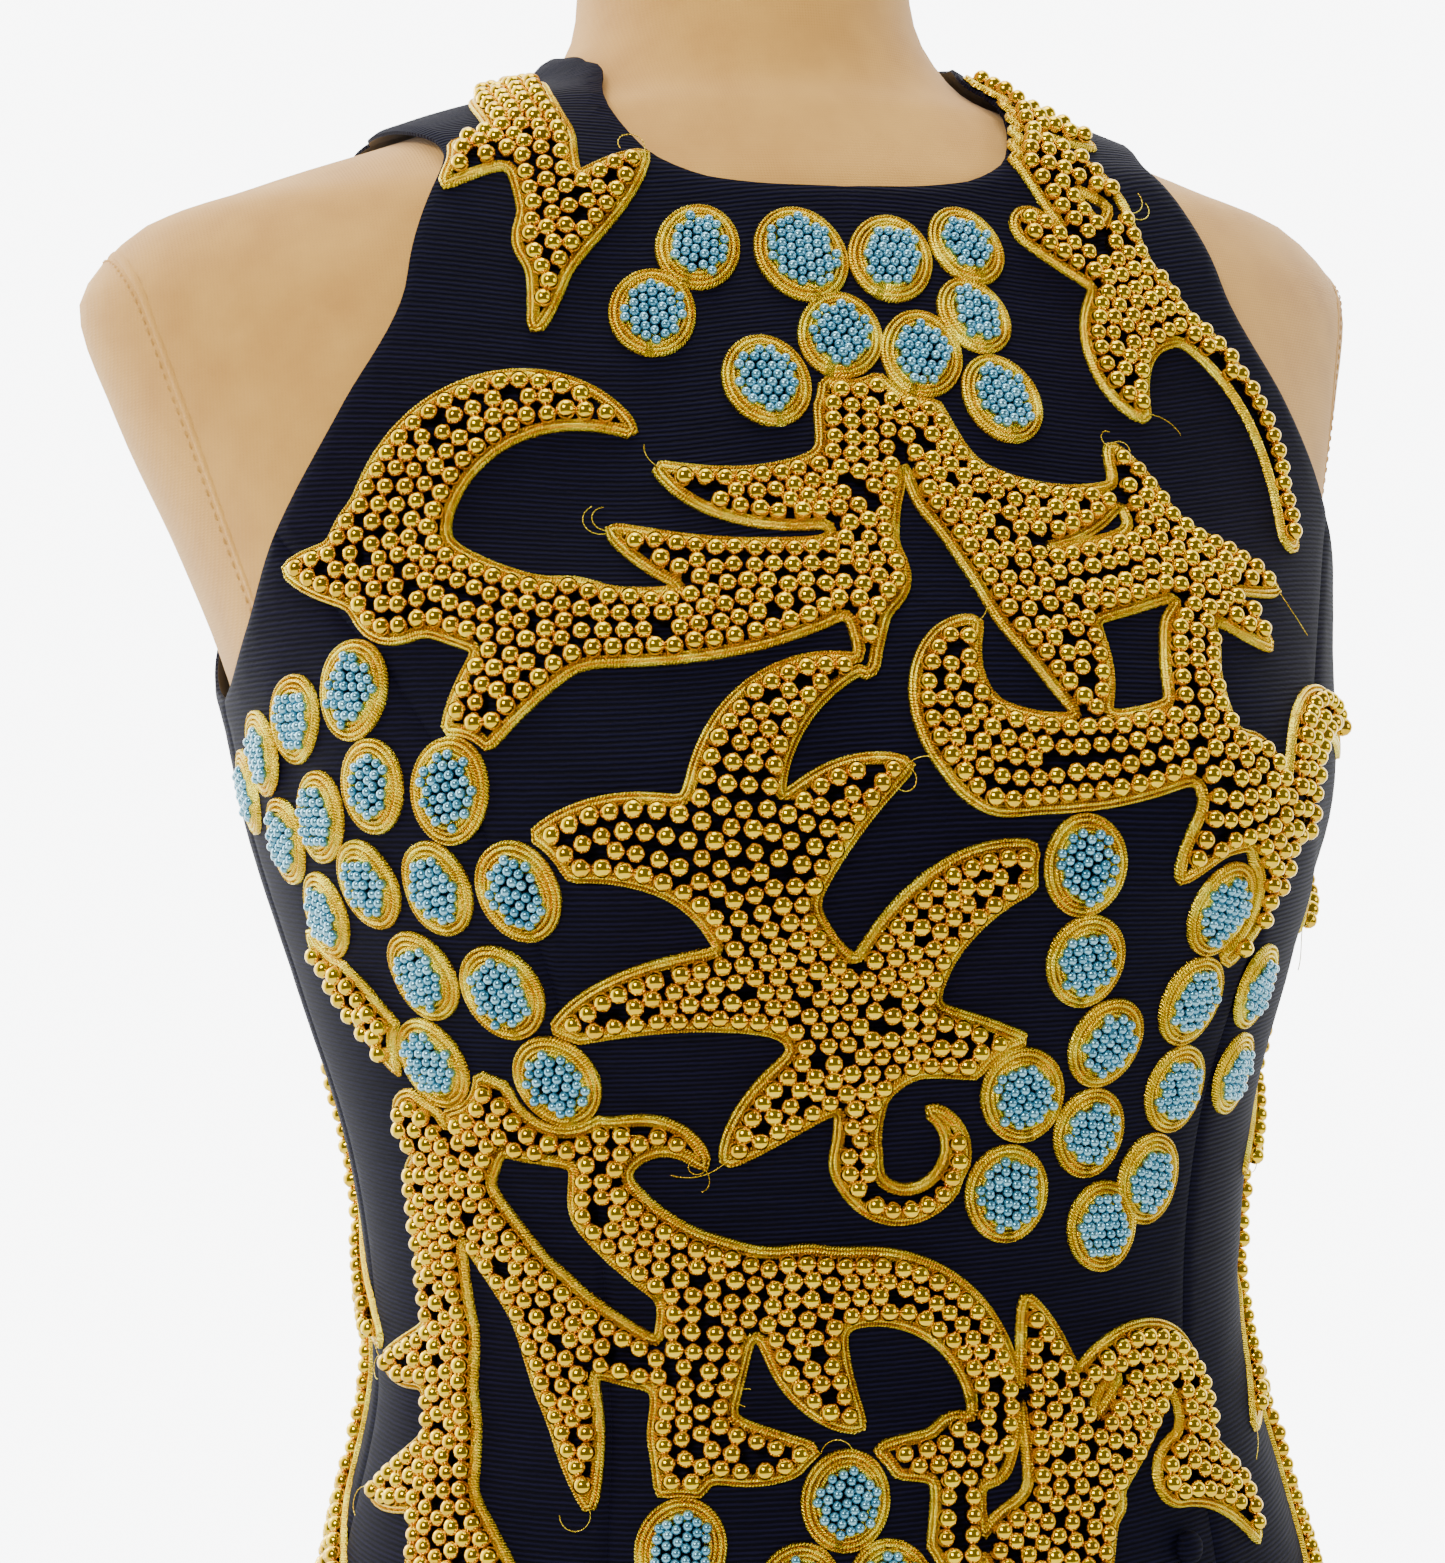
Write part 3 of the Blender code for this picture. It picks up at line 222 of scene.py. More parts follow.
LEAVES = (
    Leaf("right_shoulder", 0.34, -98, 42, 58, 10), Leaf("right_shoulder", 0.66, 140, 38, -6, 10),
    Leaf("chest_sweep", 0.50, 46, 52, 46, 12.5), Leaf("chest_hook", 0.04, 66, 36, 2, 10),
    Leaf("twin_right", 0.32, -54, 58, -72, 11), Leaf("twin_right", 0.64, -72, 70, -50, 12),
    Leaf("twin_left", 0.46, 36, 56, 72, 11.5), Leaf("twin_left", 1.00, -4, 34, -24, 12.5),
    Leaf("twin_bridge", 0.94, 72, 36, 20, 10), Leaf("twin_bridge", 0.94, -30, 42, -16, 10),
    Leaf("twin_bridge", 0.84, -58, 42, -6, 10), Leaf("left_shoulder", 0.30, 84, 30, -20, 9),
    Leaf("left_shoulder", 0.56, 62, 34, -34, 9), Leaf("left_arm", 0.02, 124, 34, -40, 10),
    Leaf("left_arm", 0.03, -140, 44, 112, 13.5), Leaf("bust_wing", 0.98, -14, 46, -136, 13),
    Leaf("bust_fork", 0.00, 180, 22, -46, 7), Leaf("bust_tail", 0.04, -112, 36, 40, 10),
    Leaf("centre", 0.02, 162, 72, -104, 12.5), Leaf("centre", 0.14, 190, 74, 100, 12.5),
    Leaf("centre", 0.22, 130, 56, -66, 12.5), Leaf("centre", 0.66, 218, 74, 54, 12.5),
    Leaf("centre", 0.98, 258, 46, 30, 11.5), Leaf("centre_foot", 0.22, 100, 78, -112, 13.5),
    Leaf("tendril", 0.98, 4, 66, 290, 6), Leaf("waist_hook", 0.98, -6, 50, -210, 8),
    Leaf("waist_leaf", 0.56, 72, 36, 40, 9.5), Leaf("low_turn", 0.06, -96, 30, 10, 7),
    Leaf("low_turn", 0.60, 50, 40, 30, 10), Leaf("low_turn", 1.00, 0, 40, -20, 10),
    Leaf("low_base", 0.50, -60, 42, -24, 10), Leaf("low_base", 0.66, 62, 46, 24, 10),
    Leaf("low_base", 1.00, 0, 30, 10, 10), Leaf("low_left", 0.40, -58, 40, -26, 10),
    Leaf("low_left", 0.60, 56, 42, 26, 10), Leaf("low_left", 1.00, 0, 34, -8, 10),
    Leaf("side_vine", 0.84, -74, 36, -24, 9), Leaf("side_vine", 1.00, 0, 34, 16, 10),
    Leaf("side_two", 0.94, 18, 46, 20, 10), Leaf("side_two", 0.90, -24, 58, -4, 10),
    Leaf("side_three", 0.28, -62, 38, -26, 9), Leaf("side_three", 0.48, -56, 40, -20, 10),
    Leaf("side_three", 0.56, 44, 68, -12, 11.5), Leaf("side_three", 0.78, -46, 48, -12, 10),
    Leaf("side_three", 1.00, 0, 40, 6, 10), Leaf("far_arm", 0.30, 60, 42, 34, 9),
    Leaf("far_arm", 0.66, -58, 44, -26, 9), Leaf("far_arm", 1.00, 0, 36, 10, 9),
    Leaf("far_vine", 0.08, -52, 46, -14, 10), Leaf("far_vine", 0.28, 46, 48, 14, 10),
    Leaf("far_vine", 0.48, -46, 50, -12, 10), Leaf("far_vine", 0.68, 44, 52, 10, 10),
    Leaf("far_vine", 0.88, -38, 46, -8, 10), Leaf("far_vine", 1.00, 0, 40, 6, 10),
    Leaf("back_shoulder", 0.40, 101, 38, -60, 9), Leaf("back_shoulder", 0.56, -138, 32, -5, 7),
    Leaf("back_twin", 0.24, 54, 60, 72, 10), Leaf("back_sweep", 0.60, -56, 46, -60, 11.5),
    Leaf("back_centre", 0.06, 152, 70, -96, 11.5), Leaf("back_centre", 0.34, 62, 62, 56, 11.5),
    Leaf("back_centre", 0.62, -74, 36, -44, 10), Leaf("back_centre", 1.00, 6, 52, 36, 11.5),
    Leaf("back_low", 0.26, 64, 56, 46, 11.5), Leaf("back_low", 0.60, 58, 54, 34, 11.5),
    Leaf("back_low", 0.52, -62, 34, -26, 9), Leaf("back_low", 1.00, 0, 44, 10, 11.5),
    Leaf("back_side", 0.06, -46, 44, -12, 10), Leaf("back_side", 0.26, 48, 52, 14, 10),
    Leaf("back_side", 0.46, -46, 50, -14, 10), Leaf("back_side", 0.68, 44, 54, 12, 10),
    Leaf("back_side", 0.88, -40, 46, -10, 10), Leaf("back_side", 1.00, 2, 38, 6, 10),
)


class Bunch(NamedTuple):
    """A bunch of grapes, each with its own angle, height and radius."""

    name: str
    copies: int
    grapes: tuple[tuple[float, float, float], ...]


BUNCHES = (
    Bunch("neck", 1, (
        (-24, 1355, 12.2), (-9, 1353, 13.6), (5, 1352, 12.8), (18, 1356, 11.6), (-30, 1337, 12.4),
        (-5, 1330, 12.4), (6.5, 1325, 12.4), (16, 1336, 11.2), (-16, 1318, 12.6), (17, 1313, 12.4),
    )),
    Bunch("arm", 1, (
        (-61.5, 1244, 12.2), (-70, 1238, 11.4), (-77.5, 1230, 11.2), (-85, 1220, 11.2),
        (-51.5, 1218, 12.4), (-60, 1220, 11.4), (-68, 1213, 11.4), (-76, 1207, 11.2),
        (-46, 1194, 12.2), (-54.5, 1195, 11.6), (-63, 1196, 11.4), (-71.5, 1188, 11.4),
        (-59, 1173, 11.8), (-50, 1169, 12.4), (-61, 1150, 12), (-46, 1146, 12.2),
    )),
    Bunch("waist", 1, (
        (16, 1194, 12.4), (18, 1170, 12.2), (35.5, 1181, 12.6), (35, 1157, 12.2), (48, 1158, 11.6),
        (23, 1148, 12), (36.5, 1133, 12.2), (49, 1134, 11.4), (12, 1136, 12.8), (23, 1124, 12),
        (34.5, 1109, 12.2), (11, 1110, 12.8), (27, 1098, 12.2),
    )),
    Bunch("low", 1, ((-14, 1034, 12.6), (-36, 1024, 12.6), (-21, 1012, 12.2), (-8, 1011, 12.4))),
    Bunch("back", 2, (
        (-121, 1234, 11.8), (-130.5, 1236, 12), (-112, 1226, 11.4), (-125.5, 1213, 12),
        (-135, 1215, 12.2), (-116, 1205, 11.6), (-129.5, 1190, 12), (-120.5, 1184, 11.8),
        (-139, 1193, 11.8), (-134, 1168, 12), (-125, 1164, 12), (-129.5, 1144, 12.2),
    )),
)


def curve_slopes(x: np.ndarray, y: np.ndarray) -> np.ndarray:
    """Slopes at the knots of a curve that never swings past them.

    Args:
        x: Where the knots are, rising.
        y: Their values.

    Returns:
        One slope for each knot.
    """
    h = np.diff(x)
    d = np.diff(y) / h
    inner = (d[:-1] * h[1:] + d[1:] * h[:-1]) / (h[:-1] + h[1:])
    limit = 3 * np.minimum(np.abs(d[:-1]), np.abs(d[1:]))
    inner = np.where(d[:-1] * d[1:] <= 0, 0, np.clip(inner, -limit, limit))
    return np.concatenate([[d[0]], inner, [d[-1]]])


def curve_at(x: np.ndarray, y: np.ndarray, m: np.ndarray, at: Any) -> np.ndarray:
    """The smooth curve through knots.

    Args:
        x: Where the knots are, rising.
        y: Their values.
        m: Their slopes.
        at: Where the curve is read.

    Returns:
        The curve's values.
    """
    at = np.clip(at, x[0], x[-1])
    i = np.clip(np.searchsorted(x, at, side="right") - 1, 0, len(x) - 2)
    h = x[i + 1] - x[i]
    u = (at - x[i]) / h
    start = (2 * u**3 - 3 * u**2 + 1) * y[i] + (u**3 - 2 * u**2 + u) * h * m[i]
    return start + (3 * u**2 - 2 * u**3) * y[i + 1] + (u**3 - u**2) * h * m[i + 1]


def steps(start: float, stop: float, pitch: float) -> np.ndarray:
    """Evenly spaced values from start to stop, both included, at most a pitch apart."""
    return np.linspace(start, stop, max(2, math.ceil(abs(stop - start) / pitch) + 1))


def from_grid(table: np.ndarray, across: np.ndarray, up: np.ndarray) -> np.ndarray:
    """Values between a grid's own.

    Args:
        table: The grid.
        across: Where each value is read along the first axis, in grid steps.
        up: Where it is read along the second.

    Returns:
        A value for each place.
    """
    i, j = across.astype(int), up.astype(int)
    u, v = across - i, up - j
    low = table[i, j] * (1 - v) + table[i, j + 1] * v
    high = table[i + 1, j] * (1 - v) + table[i + 1, j + 1] * v
    return low * (1 - u) + high * u


class Figure:
    """The general figure under the dress, as a chart of angle and run, in mm."""

    def __init__(self) -> None:
        """Works out the run of each ring, the tables that read it back, and the cloth's grain."""
        self.columns = [np.array(c, float) for c in zip(*[ring[1:] for ring in RINGS])]
        rises = np.hypot(np.diff(self.columns[0]), np.diff(self.columns[1]))
        self.run = np.concatenate([[0], np.cumsum(rises)])
        self.slopes = [curve_slopes(self.run, c) for c in self.columns]
        self.run_grid = np.linspace(self.run[0], self.run[-1], 4001)
        self.height_grid = curve_at(self.run, self.columns[0], self.slopes[0], self.run_grid)
        self.grain_angles = np.linspace(0, math.pi, 121)
        self.grain_runs = np.linspace(self.run[0], self.run[-1], 500)
        angles, runs = np.meshgrid(self.grain_angles, self.grain_runs, indexing="ij")
        across, up, _ = self.frame(angles, runs)
        around = np.linalg.norm(across, axis=-1)
        lean = (across * up).sum(-1) / around
        rise = np.sqrt(np.maximum((up**2).sum(-1) - lean**2, 1e-9))
        step = self.grain_runs[1] - self.grain_runs[0]
        waist = int(np.searchsorted(self.grain_runs, self.run_at(WAIST_Z)))
        climbed = np.cumsum(rise, axis=1) * step
        self.grain_up = climbed - climbed[:, waist:waist + 1]
        self.grain_around = np.cumsum(around, axis=0) * (self.grain_angles[1] - self.grain_angles[0])

    def at(self, angle: Any, run: Any) -> np.ndarray:
        """Points of the bare figure.

        Args:
            angle: Angles from centre front, in radians.
            run: Runs up the figure's side, in mm.

        Returns:
            Points in mm, with a last axis of three.
        """
        angle, run = np.broadcast_arrays(np.asarray(angle, float), np.asarray(run, float))
        height, wide, front, back, set_back, square = (
            curve_at(self.run, c, m, run) for c, m in zip(self.columns, self.slopes)
        )
        s, c = np.sin(angle), np.cos(angle)
        deep = np.where(c > 0, front, back)
        r = (np.abs(s / wide) ** square + np.abs(c / deep) ** square) ** (-1 / square)
        x, y = r * s, set_back - r * c
        near = ((np.abs(x) - BUST_X) / BUST_WIDE) ** 2 + ((height - BUST_Z) / BUST_TALL) ** 2
        y = y - np.where(c > 0, BUST_OUT * np.exp(-near) * c, 0)
        return np.stack([x, y, height], -1)

    def frame(self, angle: Any, run: Any) -> tuple[np.ndarray, np.ndarray, np.ndarray]:
        """How the figure's points move on the chart.

        Args:
            angle: Angles from centre front, in radians.
            run: Runs up the figure's side, in mm.

        Returns:
            The move with angle, the move with run, and the normal out.
        """
        across = (self.at(angle + 1e-3, run) - self.at(angle - 1e-3, run)) / 2e-3
        up = self.at(angle, run + 0.5) - self.at(angle, run - 0.5)
        normal = np.cross(across, up)
        return across, up, normal / np.linalg.norm(normal, axis=-1, keepdims=True)

    def spots(self, places: np.ndarray) -> np.ndarray:
        """Points of the bare figure at places (angle, run)."""
        return self.at(places[..., 0], places[..., 1])

    def ways(self, places: np.ndarray) -> tuple[np.ndarray, np.ndarray, np.ndarray]:
        """The figure's frame at places (angle, run)."""
        return self.frame(places[..., 0], places[..., 1])

    def out(self, angle: Any, run: Any, by: Any) -> np.ndarray:
        """Points moved out from the figure by a length in mm."""
        return self.at(angle, run) + self.frame(angle, run)[2] * np.expand_dims(by, -1)

    def run_at(self, height: Any) -> Any:
        """The run at a height."""
        return np.interp(height, self.height_grid, self.run_grid)

    def height_at(self, run: Any) -> Any:
        """The height at a run."""
        return np.interp(run, self.run_grid, self.height_grid)

    def grain(self, places: np.ndarray) -> np.ndarray:
        """Lengths along the cloth, which its ribs follow.

        Args:
            places: Places (angle, run).

        Returns:
            Lengths in mm from centre front and from the waist, a pair for each place.
        """
        last = len(self.grain_angles) - 1
        a = np.clip(np.abs(places[:, 0]) / math.pi * last, 0, last - 0.001)
        r = np.interp(places[:, 1], self.grain_runs, np.arange(len(self.grain_runs)))
        r = np.clip(r, 0, len(self.grain_runs) - 1.001)
        around, up = (from_grid(table, a, r) for table in (self.grain_around, self.grain_up))
        return np.stack([around * np.sign(places[:, 0]), up], -1)

    def walk(self, angle: Any, run: Any, heading: Any, length: Any, turn: Any, count: int) -> list:
        """Paths over the figure, all at once.

        Args:
            angle: Where each path starts, in radians.
            run: Its run there.
            heading: Where it heads, in radians.
            length: How long it is, in mm.
            turn: How far it turns to the left on its way, in degrees.
            count: How many points it gets.

        Returns:
            Arrays of angles, runs and headings, a row for each path.
        """
        angle, run, heading = (np.array(v, float) for v in (angle, run, heading))
        length, turn = np.array(length, float), np.radians(turn)
        path = [(angle.copy(), run.copy(), heading.copy())]
        for _ in range(count - 1):
            across, up, _normal = self.frame(angle, run)
            wide = np.linalg.norm(across, axis=-1)
            lean = (across * up).sum(-1) / wide
            rise = np.sqrt((up**2).sum(-1) - lean**2)
            stride = length / (count - 1)
            by = np.sin(heading) * stride / rise
            angle = angle + (np.cos(heading) * stride - by * lean) / wide
            run = run + by
            heading = heading + turn / (count - 1)
            path.append((angle.copy(), run.copy(), heading.copy()))
        return [np.stack(part, -1) for part in zip(*path)]


FIGURE = Figure()
HEM = FIGURE.run_at(HEM_Z)
JUNCTION = FIGURE.run_at(FRONT_SEAM[-1].height)
# Stitches close the seams, so the shells keep only a hair of the solids' gap
HALF = SEAM / 12


def inside(outline: np.ndarray, points: np.ndarray) -> np.ndarray:
    """Which points lie in a closed outline.

    Args:
        outline: The outline's points (angle, run).
        points: The points (angle, run).

    Returns:
        A truth for each point.
    """
    found = np.zeros(len(points), bool)
    for (ax, ay), (bx, by) in zip(outline, np.roll(outline, -1, axis=0)):
        crosses = (ay > points[:, 1]) != (by > points[:, 1])
        if ay != by:
            found ^= crosses & (points[:, 0] < (bx - ax) * (points[:, 1] - ay) / (by - ay) + ax)
    return found


def line_distance(line: np.ndarray, points: np.ndarray, closed: bool = True) -> np.ndarray:
    """Distance of points from a line, measured over the figure.

    Args:
        line: The line's points (angle, run).
        points: The points (angle, run).
        closed: Whether the line's last point joins its first.

    Returns:
        Distances in mm.
    """
    ends = np.roll(line, -1, axis=0) if closed else line[1:]
    begins = line if closed else line[:-1]
    part = np.linspace(0, 1, 3)[:, None, None]
    spots = begins + (ends - begins) * part
    spots = FIGURE.spots(spots)
    starts, along = spots[:-1].reshape(-1, 3), np.diff(spots, axis=0).reshape(-1, 3)
    square = np.maximum((along**2).sum(-1), 1e-9)
    places = FIGURE.spots(points)
    nearest = []
    for block in np.array_split(places, len(places) // 800 + 1):
        off = block[:, None] - starts
        u = np.clip((off * along).sum(-1) / square, 0, 1)
        nearest.append(np.linalg.norm(off - u[..., None] * along, axis=2).min(1))
    return np.concatenate(nearest)


def contour(values: np.ndarray, level: float) -> list[np.ndarray]:
    """Closed lines where a grid of values passes a level.

    Args:
        values: The grid. Its rim lies below the level.
        level: The level.

    Returns:
        Lines in grid steps, with the higher side on the left or right all along.
    """
    above = values > level
    ends: dict = {}
    cells = above[:-1, :-1].astype(int) + 2 * above[1:, :-1] + 4 * above[1:, 1:] + 8 * above[:-1, 1:]
    for i, j in np.argwhere((cells > 0) & (cells < 15)):
        corners = ((i, j), (i + 1, j), (i + 1, j + 1), (i, j + 1))
        for k in range(4):
            if not above[corners[k]] or above[corners[(k + 1) % 4]]:
                continue
            n = k
            while above[corners[n % 4]] or not above[corners[(n + 1) % 4]]:
                n += 1
            first = tuple(sorted((corners[k], corners[(k + 1) % 4])))
            ends[first] = tuple(sorted((corners[n % 4], corners[(n + 1) % 4])))
    lines = []
    while ends:
        start, at = ends.popitem()
        line = [start]
        while at != start:
            line.append(at)
            at = ends.pop(at)
        a, b = np.array([e[0] for e in line]), np.array([e[1] for e in line])
        low, high = values[a[:, 0], a[:, 1]], values[b[:, 0], b[:, 1]]
        lines.append(a + (b - a) * ((level - low) / (high - low))[:, None])
    return lines


def chart_line(line: np.ndarray, angles: np.ndarray, runs: np.ndarray) -> np.ndarray:
    """A contour's points, given in grid steps, as places (angle, run) of the grid's own axes."""
    return np.stack([
        np.interp(line[:, 0], np.arange(len(angles)), angles),
        np.interp(line[:, 1], np.arange(len(runs)), runs),
    ], -1)


def grid_quads(
    rows: int, columns: int, rows_close: bool = False, columns_close: bool = False, flip: bool = False
) -> np.ndarray:
    """Quads between the points of a grid, which are numbered row by row.

    Args:
        rows: How many rows there are.
        columns: How many points each row has.
        rows_close: Whether the last row joins the first.
        columns_close: Whether each row's last point joins its first.
        flip: Whether the quads face the other way.

    Returns:
        A row of four numbers for each quad.
    """
    i, k = np.meshgrid(
        np.arange(rows if rows_close else rows - 1), np.arange(columns if columns_close else columns - 1),
        indexing="ij",
    )
    below, beside = (i + 1) % rows, (k + 1) % columns
    quads = np.stack([
        i * columns + k, i * columns + beside, below * columns + beside, below * columns + k,
    ], -1).reshape(-1, 4)
    return quads[:, [0, 3, 2, 1]] if flip else quads


def new_object(
    name: str,
    points: np.ndarray,
    faces: np.ndarray,
    material: bpy.types.Material,
    uv: np.ndarray | None = None,
    tone: np.ndarray | None = None,
    sharp: float = 40,
) -> bpy.types.Object:
    """A smooth object from points and faces of one kind.

    Args:
        name: The object's name.
        points: Points in mm.
        faces: A row of point numbers for each face.
        material: Its finish.
        uv: A pair for each point, in mm along the cloth or the braid.
        tone: A value from 0 to 1 for each point, which the finish reads as its shade.
        sharp: The least angle of a hard edge, in degrees.

    Returns:
        The new object.
    """
    mesh = bpy.data.meshes.new(name)
    corners = faces.shape[1]
    mesh.vertices.add(len(points))
    mesh.vertices.foreach_set("co", (points * MM).astype(np.float32).ravel())
    mesh.loops.add(faces.size)
    mesh.loops.foreach_set("vertex_index", faces.astype(np.int32).ravel())
    mesh.polygons.add(len(faces))
    mesh.polygons.foreach_set("loop_start", np.arange(0, faces.size, corners, dtype=np.int32))
    mesh.update(calc_edges=True)
    if uv is not None:
        layer = mesh.uv_layers.new(name="grain")
        layer.data.foreach_set("uv", uv[faces.ravel()].astype(np.float32).ravel())
    if tone is not None:
        shade = mesh.attributes.new("tone", "FLOAT", "POINT")
        shade.data.foreach_set("value", tone.astype(np.float32))
    mesh.shade_smooth()
    mesh.set_sharp_from_angle(angle=math.radians(sharp))
    mesh.materials.append(material)
    obj = bpy.data.objects.new(name, mesh)
    bpy.context.scene.collection.objects.link(obj)
    return obj


def swept(points: np.ndarray, normals: np.ndarray, section: np.ndarray) -> tuple:
    """A band swept along a closed line.

    Args:
        points: The line's points in mm.
        normals: The cloth's normal at each.
        section: The band's section, as (aside, out) in mm.

    Returns:
        Points, quads, and pairs of lengths along and aside.
    """
    along = np.roll(points, -1, axis=0) - np.roll(points, 1, axis=0)
    along /= np.maximum(np.linalg.norm(along, axis=1, keepdims=True), 1e-9)
    aside = np.cross(normals, along)
    rows = points[:, None] + aside[:, None] * section[None, :, :1] + normals[:, None] * section[None, :, 1:]
    length = np.concatenate([[0], np.cumsum(np.linalg.norm(np.diff(points, axis=0), axis=1))])
    uv = np.stack(np.broadcast_arrays(length[:, None], section[None, :, 0]), -1)
    faces = grid_quads(len(points), len(section), rows_close=True)
    return rows.reshape(-1, 3), faces, uv.reshape(-1, 2)


def even(places: np.ndarray, pitch: float, closed: bool = True) -> np.ndarray:
    """A line (angle, run) read again at even lengths over the figure.

    Args:
        places: The line's points.
        pitch: How far apart the new ones are, in mm.
        closed: Whether the line's last point joins its first.

    Returns:
        The new points.
    """
    line = np.concatenate([places, places[:1]]) if closed else places
    spots = FIGURE.spots(line)
    way = np.concatenate([[0], np.cumsum(np.linalg.norm(np.diff(spots, axis=0), axis=1))])
    count = max(6, round(way[-1] / pitch))
    at = np.linspace(0, way[-1], count + 1)
    at = at[:-1] if closed else at
    return np.stack([np.interp(at, way, line[:, 0]), np.interp(at, way, line[:, 1])], -1)


def joined_bands(bands: Sequence[tuple]) -> tuple[np.ndarray, np.ndarray, np.ndarray]:
    """Swept bands joined.

    Args:
        bands: Points, quads and pairs of each band.

    Returns:
        All points, quads and pairs, as one band has them.
    """
    base = np.cumsum([0] + [len(b[0]) for b in bands[:-1]])
    return (
        np.concatenate([b[0] for b in bands]),
        np.concatenate([b[1] + k for b, k in zip(bands, base)]),
        np.concatenate([b[2] for b in bands]),
    )


# Finishes


def linear(code: str) -> tuple[float, float, float, float]:
    """A colour's sRGB hex code as linear red, green, blue and alpha."""
    values = [int(code[i:i + 2], 16) / 255 for i in (1, 3, 5)]
    found = [v / 12.92 if v <= 0.04045 else ((v + 0.055) / 1.055) ** 2.4 for v in values]
    return found[0], found[1], found[2], 1.0


def add_node(
    tree: bpy.types.NodeTree, kind: str, links: dict[str, Any] | None = None, **settings: Any
) -> bpy.types.Node:
    """Adds a node.

    Args:
        tree: The material's nodes.
        kind: The node's type, without the word ShaderNode.
        links: For each input, a socket to link to it or the value to set there.
        **settings: The node's own properties.

    Returns:
        The new node.
    """
    node = tree.nodes.new(f"ShaderNode{kind}")
    for name, value in settings.items():
        setattr(node, name, value)
    for name, value in (links or {}).items():
        socket = node.inputs[int(name) if name.isdigit() else name]
        if isinstance(value, bpy.types.NodeSocket):
            tree.links.new(value, socket)
        else:
            socket.default_value = value
    return node


def object_space(tree: bpy.types.NodeTree) -> bpy.types.NodeSocket:
    """Places in the object's own space."""
    return add_node(tree, "TexCoord").outputs["Object"]


def noise(
    tree: bpy.types.NodeTree, vector: bpy.types.NodeSocket, scale: float, detail: float, **more: float
) -> bpy.types.NodeSocket:
    """Noise.

    Args:
        tree: The material's nodes.
        vector: Where it is read.
        scale: How fine it is.
        detail: How many finer layers it has.
        **more: Its other inputs.

    Returns:
        Values from 0 to 1.
    """
    links = {"Vector": vector, "Scale": scale, "Detail": detail, **more}
    return add_node(tree, "TexNoise", links).outputs["Fac"]


def waves(
    tree: bpy.types.NodeTree, vector: bpy.types.NodeSocket, pitch: float, way: str, more: dict[str, float]
) -> bpy.types.NodeSocket:
    """Bands across X, Y or Z.

    Args:
        tree: The material's nodes.
        vector: Where they are read.
        pitch: How far apart they are.
        way: X, Y or Z.
        more: The texture's other inputs.

    Returns:
        Values from 0 to 1.
    """
    links = {"Vector": vector, "Scale": WAVE_UNIT / pitch, **more}
    return add_node(tree, "TexWave", links, wave_type="BANDS", bands_direction=way).outputs["Fac"]


def scaled(
    tree: bpy.types.NodeTree, vector: bpy.types.NodeSocket, scale: tuple[float, float, float]
) -> bpy.types.NodeSocket:
    """A vector stretched along its axes."""
    return add_node(tree, "Mapping", {"Vector": vector, "Scale": scale}).outputs["Vector"]


def sums(tree: bpy.types.NodeTree, first: Any, by: Any, plus: Any) -> bpy.types.NodeSocket:
    """The first value times another, plus a third."""
    return add_node(tree, "Math", {"0": first, "1": by, "2": plus}, operation="MULTIPLY_ADD").outputs[0]


def ranged(
    tree: bpy.types.NodeTree, value: bpy.types.NodeSocket, low: float, high: float
) -> bpy.types.NodeSocket:
    """A value read again from 0 at a low one to 1 at a high one."""
    links = {"Value": value, "From Min": low, "From Max": high}
    return add_node(tree, "MapRange", links).outputs["Result"]


def blended(tree: bpy.types.NodeTree, share: Any, first: Any, second: Any) -> bpy.types.NodeSocket:
    """A colour between two.

    Args:
        tree: The material's nodes.
        share: The second one's share.
        first: A socket or an sRGB hex code.
        second: The same.

    Returns:
        The colour.
    """
    first, second = (linear(v) if isinstance(v, str) else v for v in (first, second))
    links = {"Factor": share, "6": first, "7": second}
    return add_node(tree, "Mix", links, data_type="RGBA").outputs[2]


def bumped(
    tree: bpy.types.NodeTree, height: bpy.types.NodeSocket, strength: float, distance: float, **more: Any
) -> bpy.types.NodeSocket:
    """A normal that follows a height.

    Args:
        tree: The material's nodes.
        height: The height.
        strength: How much of it counts.
        distance: How tall it is, in metres.
        **more: The node's other inputs.

    Returns:
        The normal.
    """
    links = {"Height": height, "Strength": strength, "Distance": distance, **more}
    return add_node(tree, "Bump", links).outputs["Normal"]


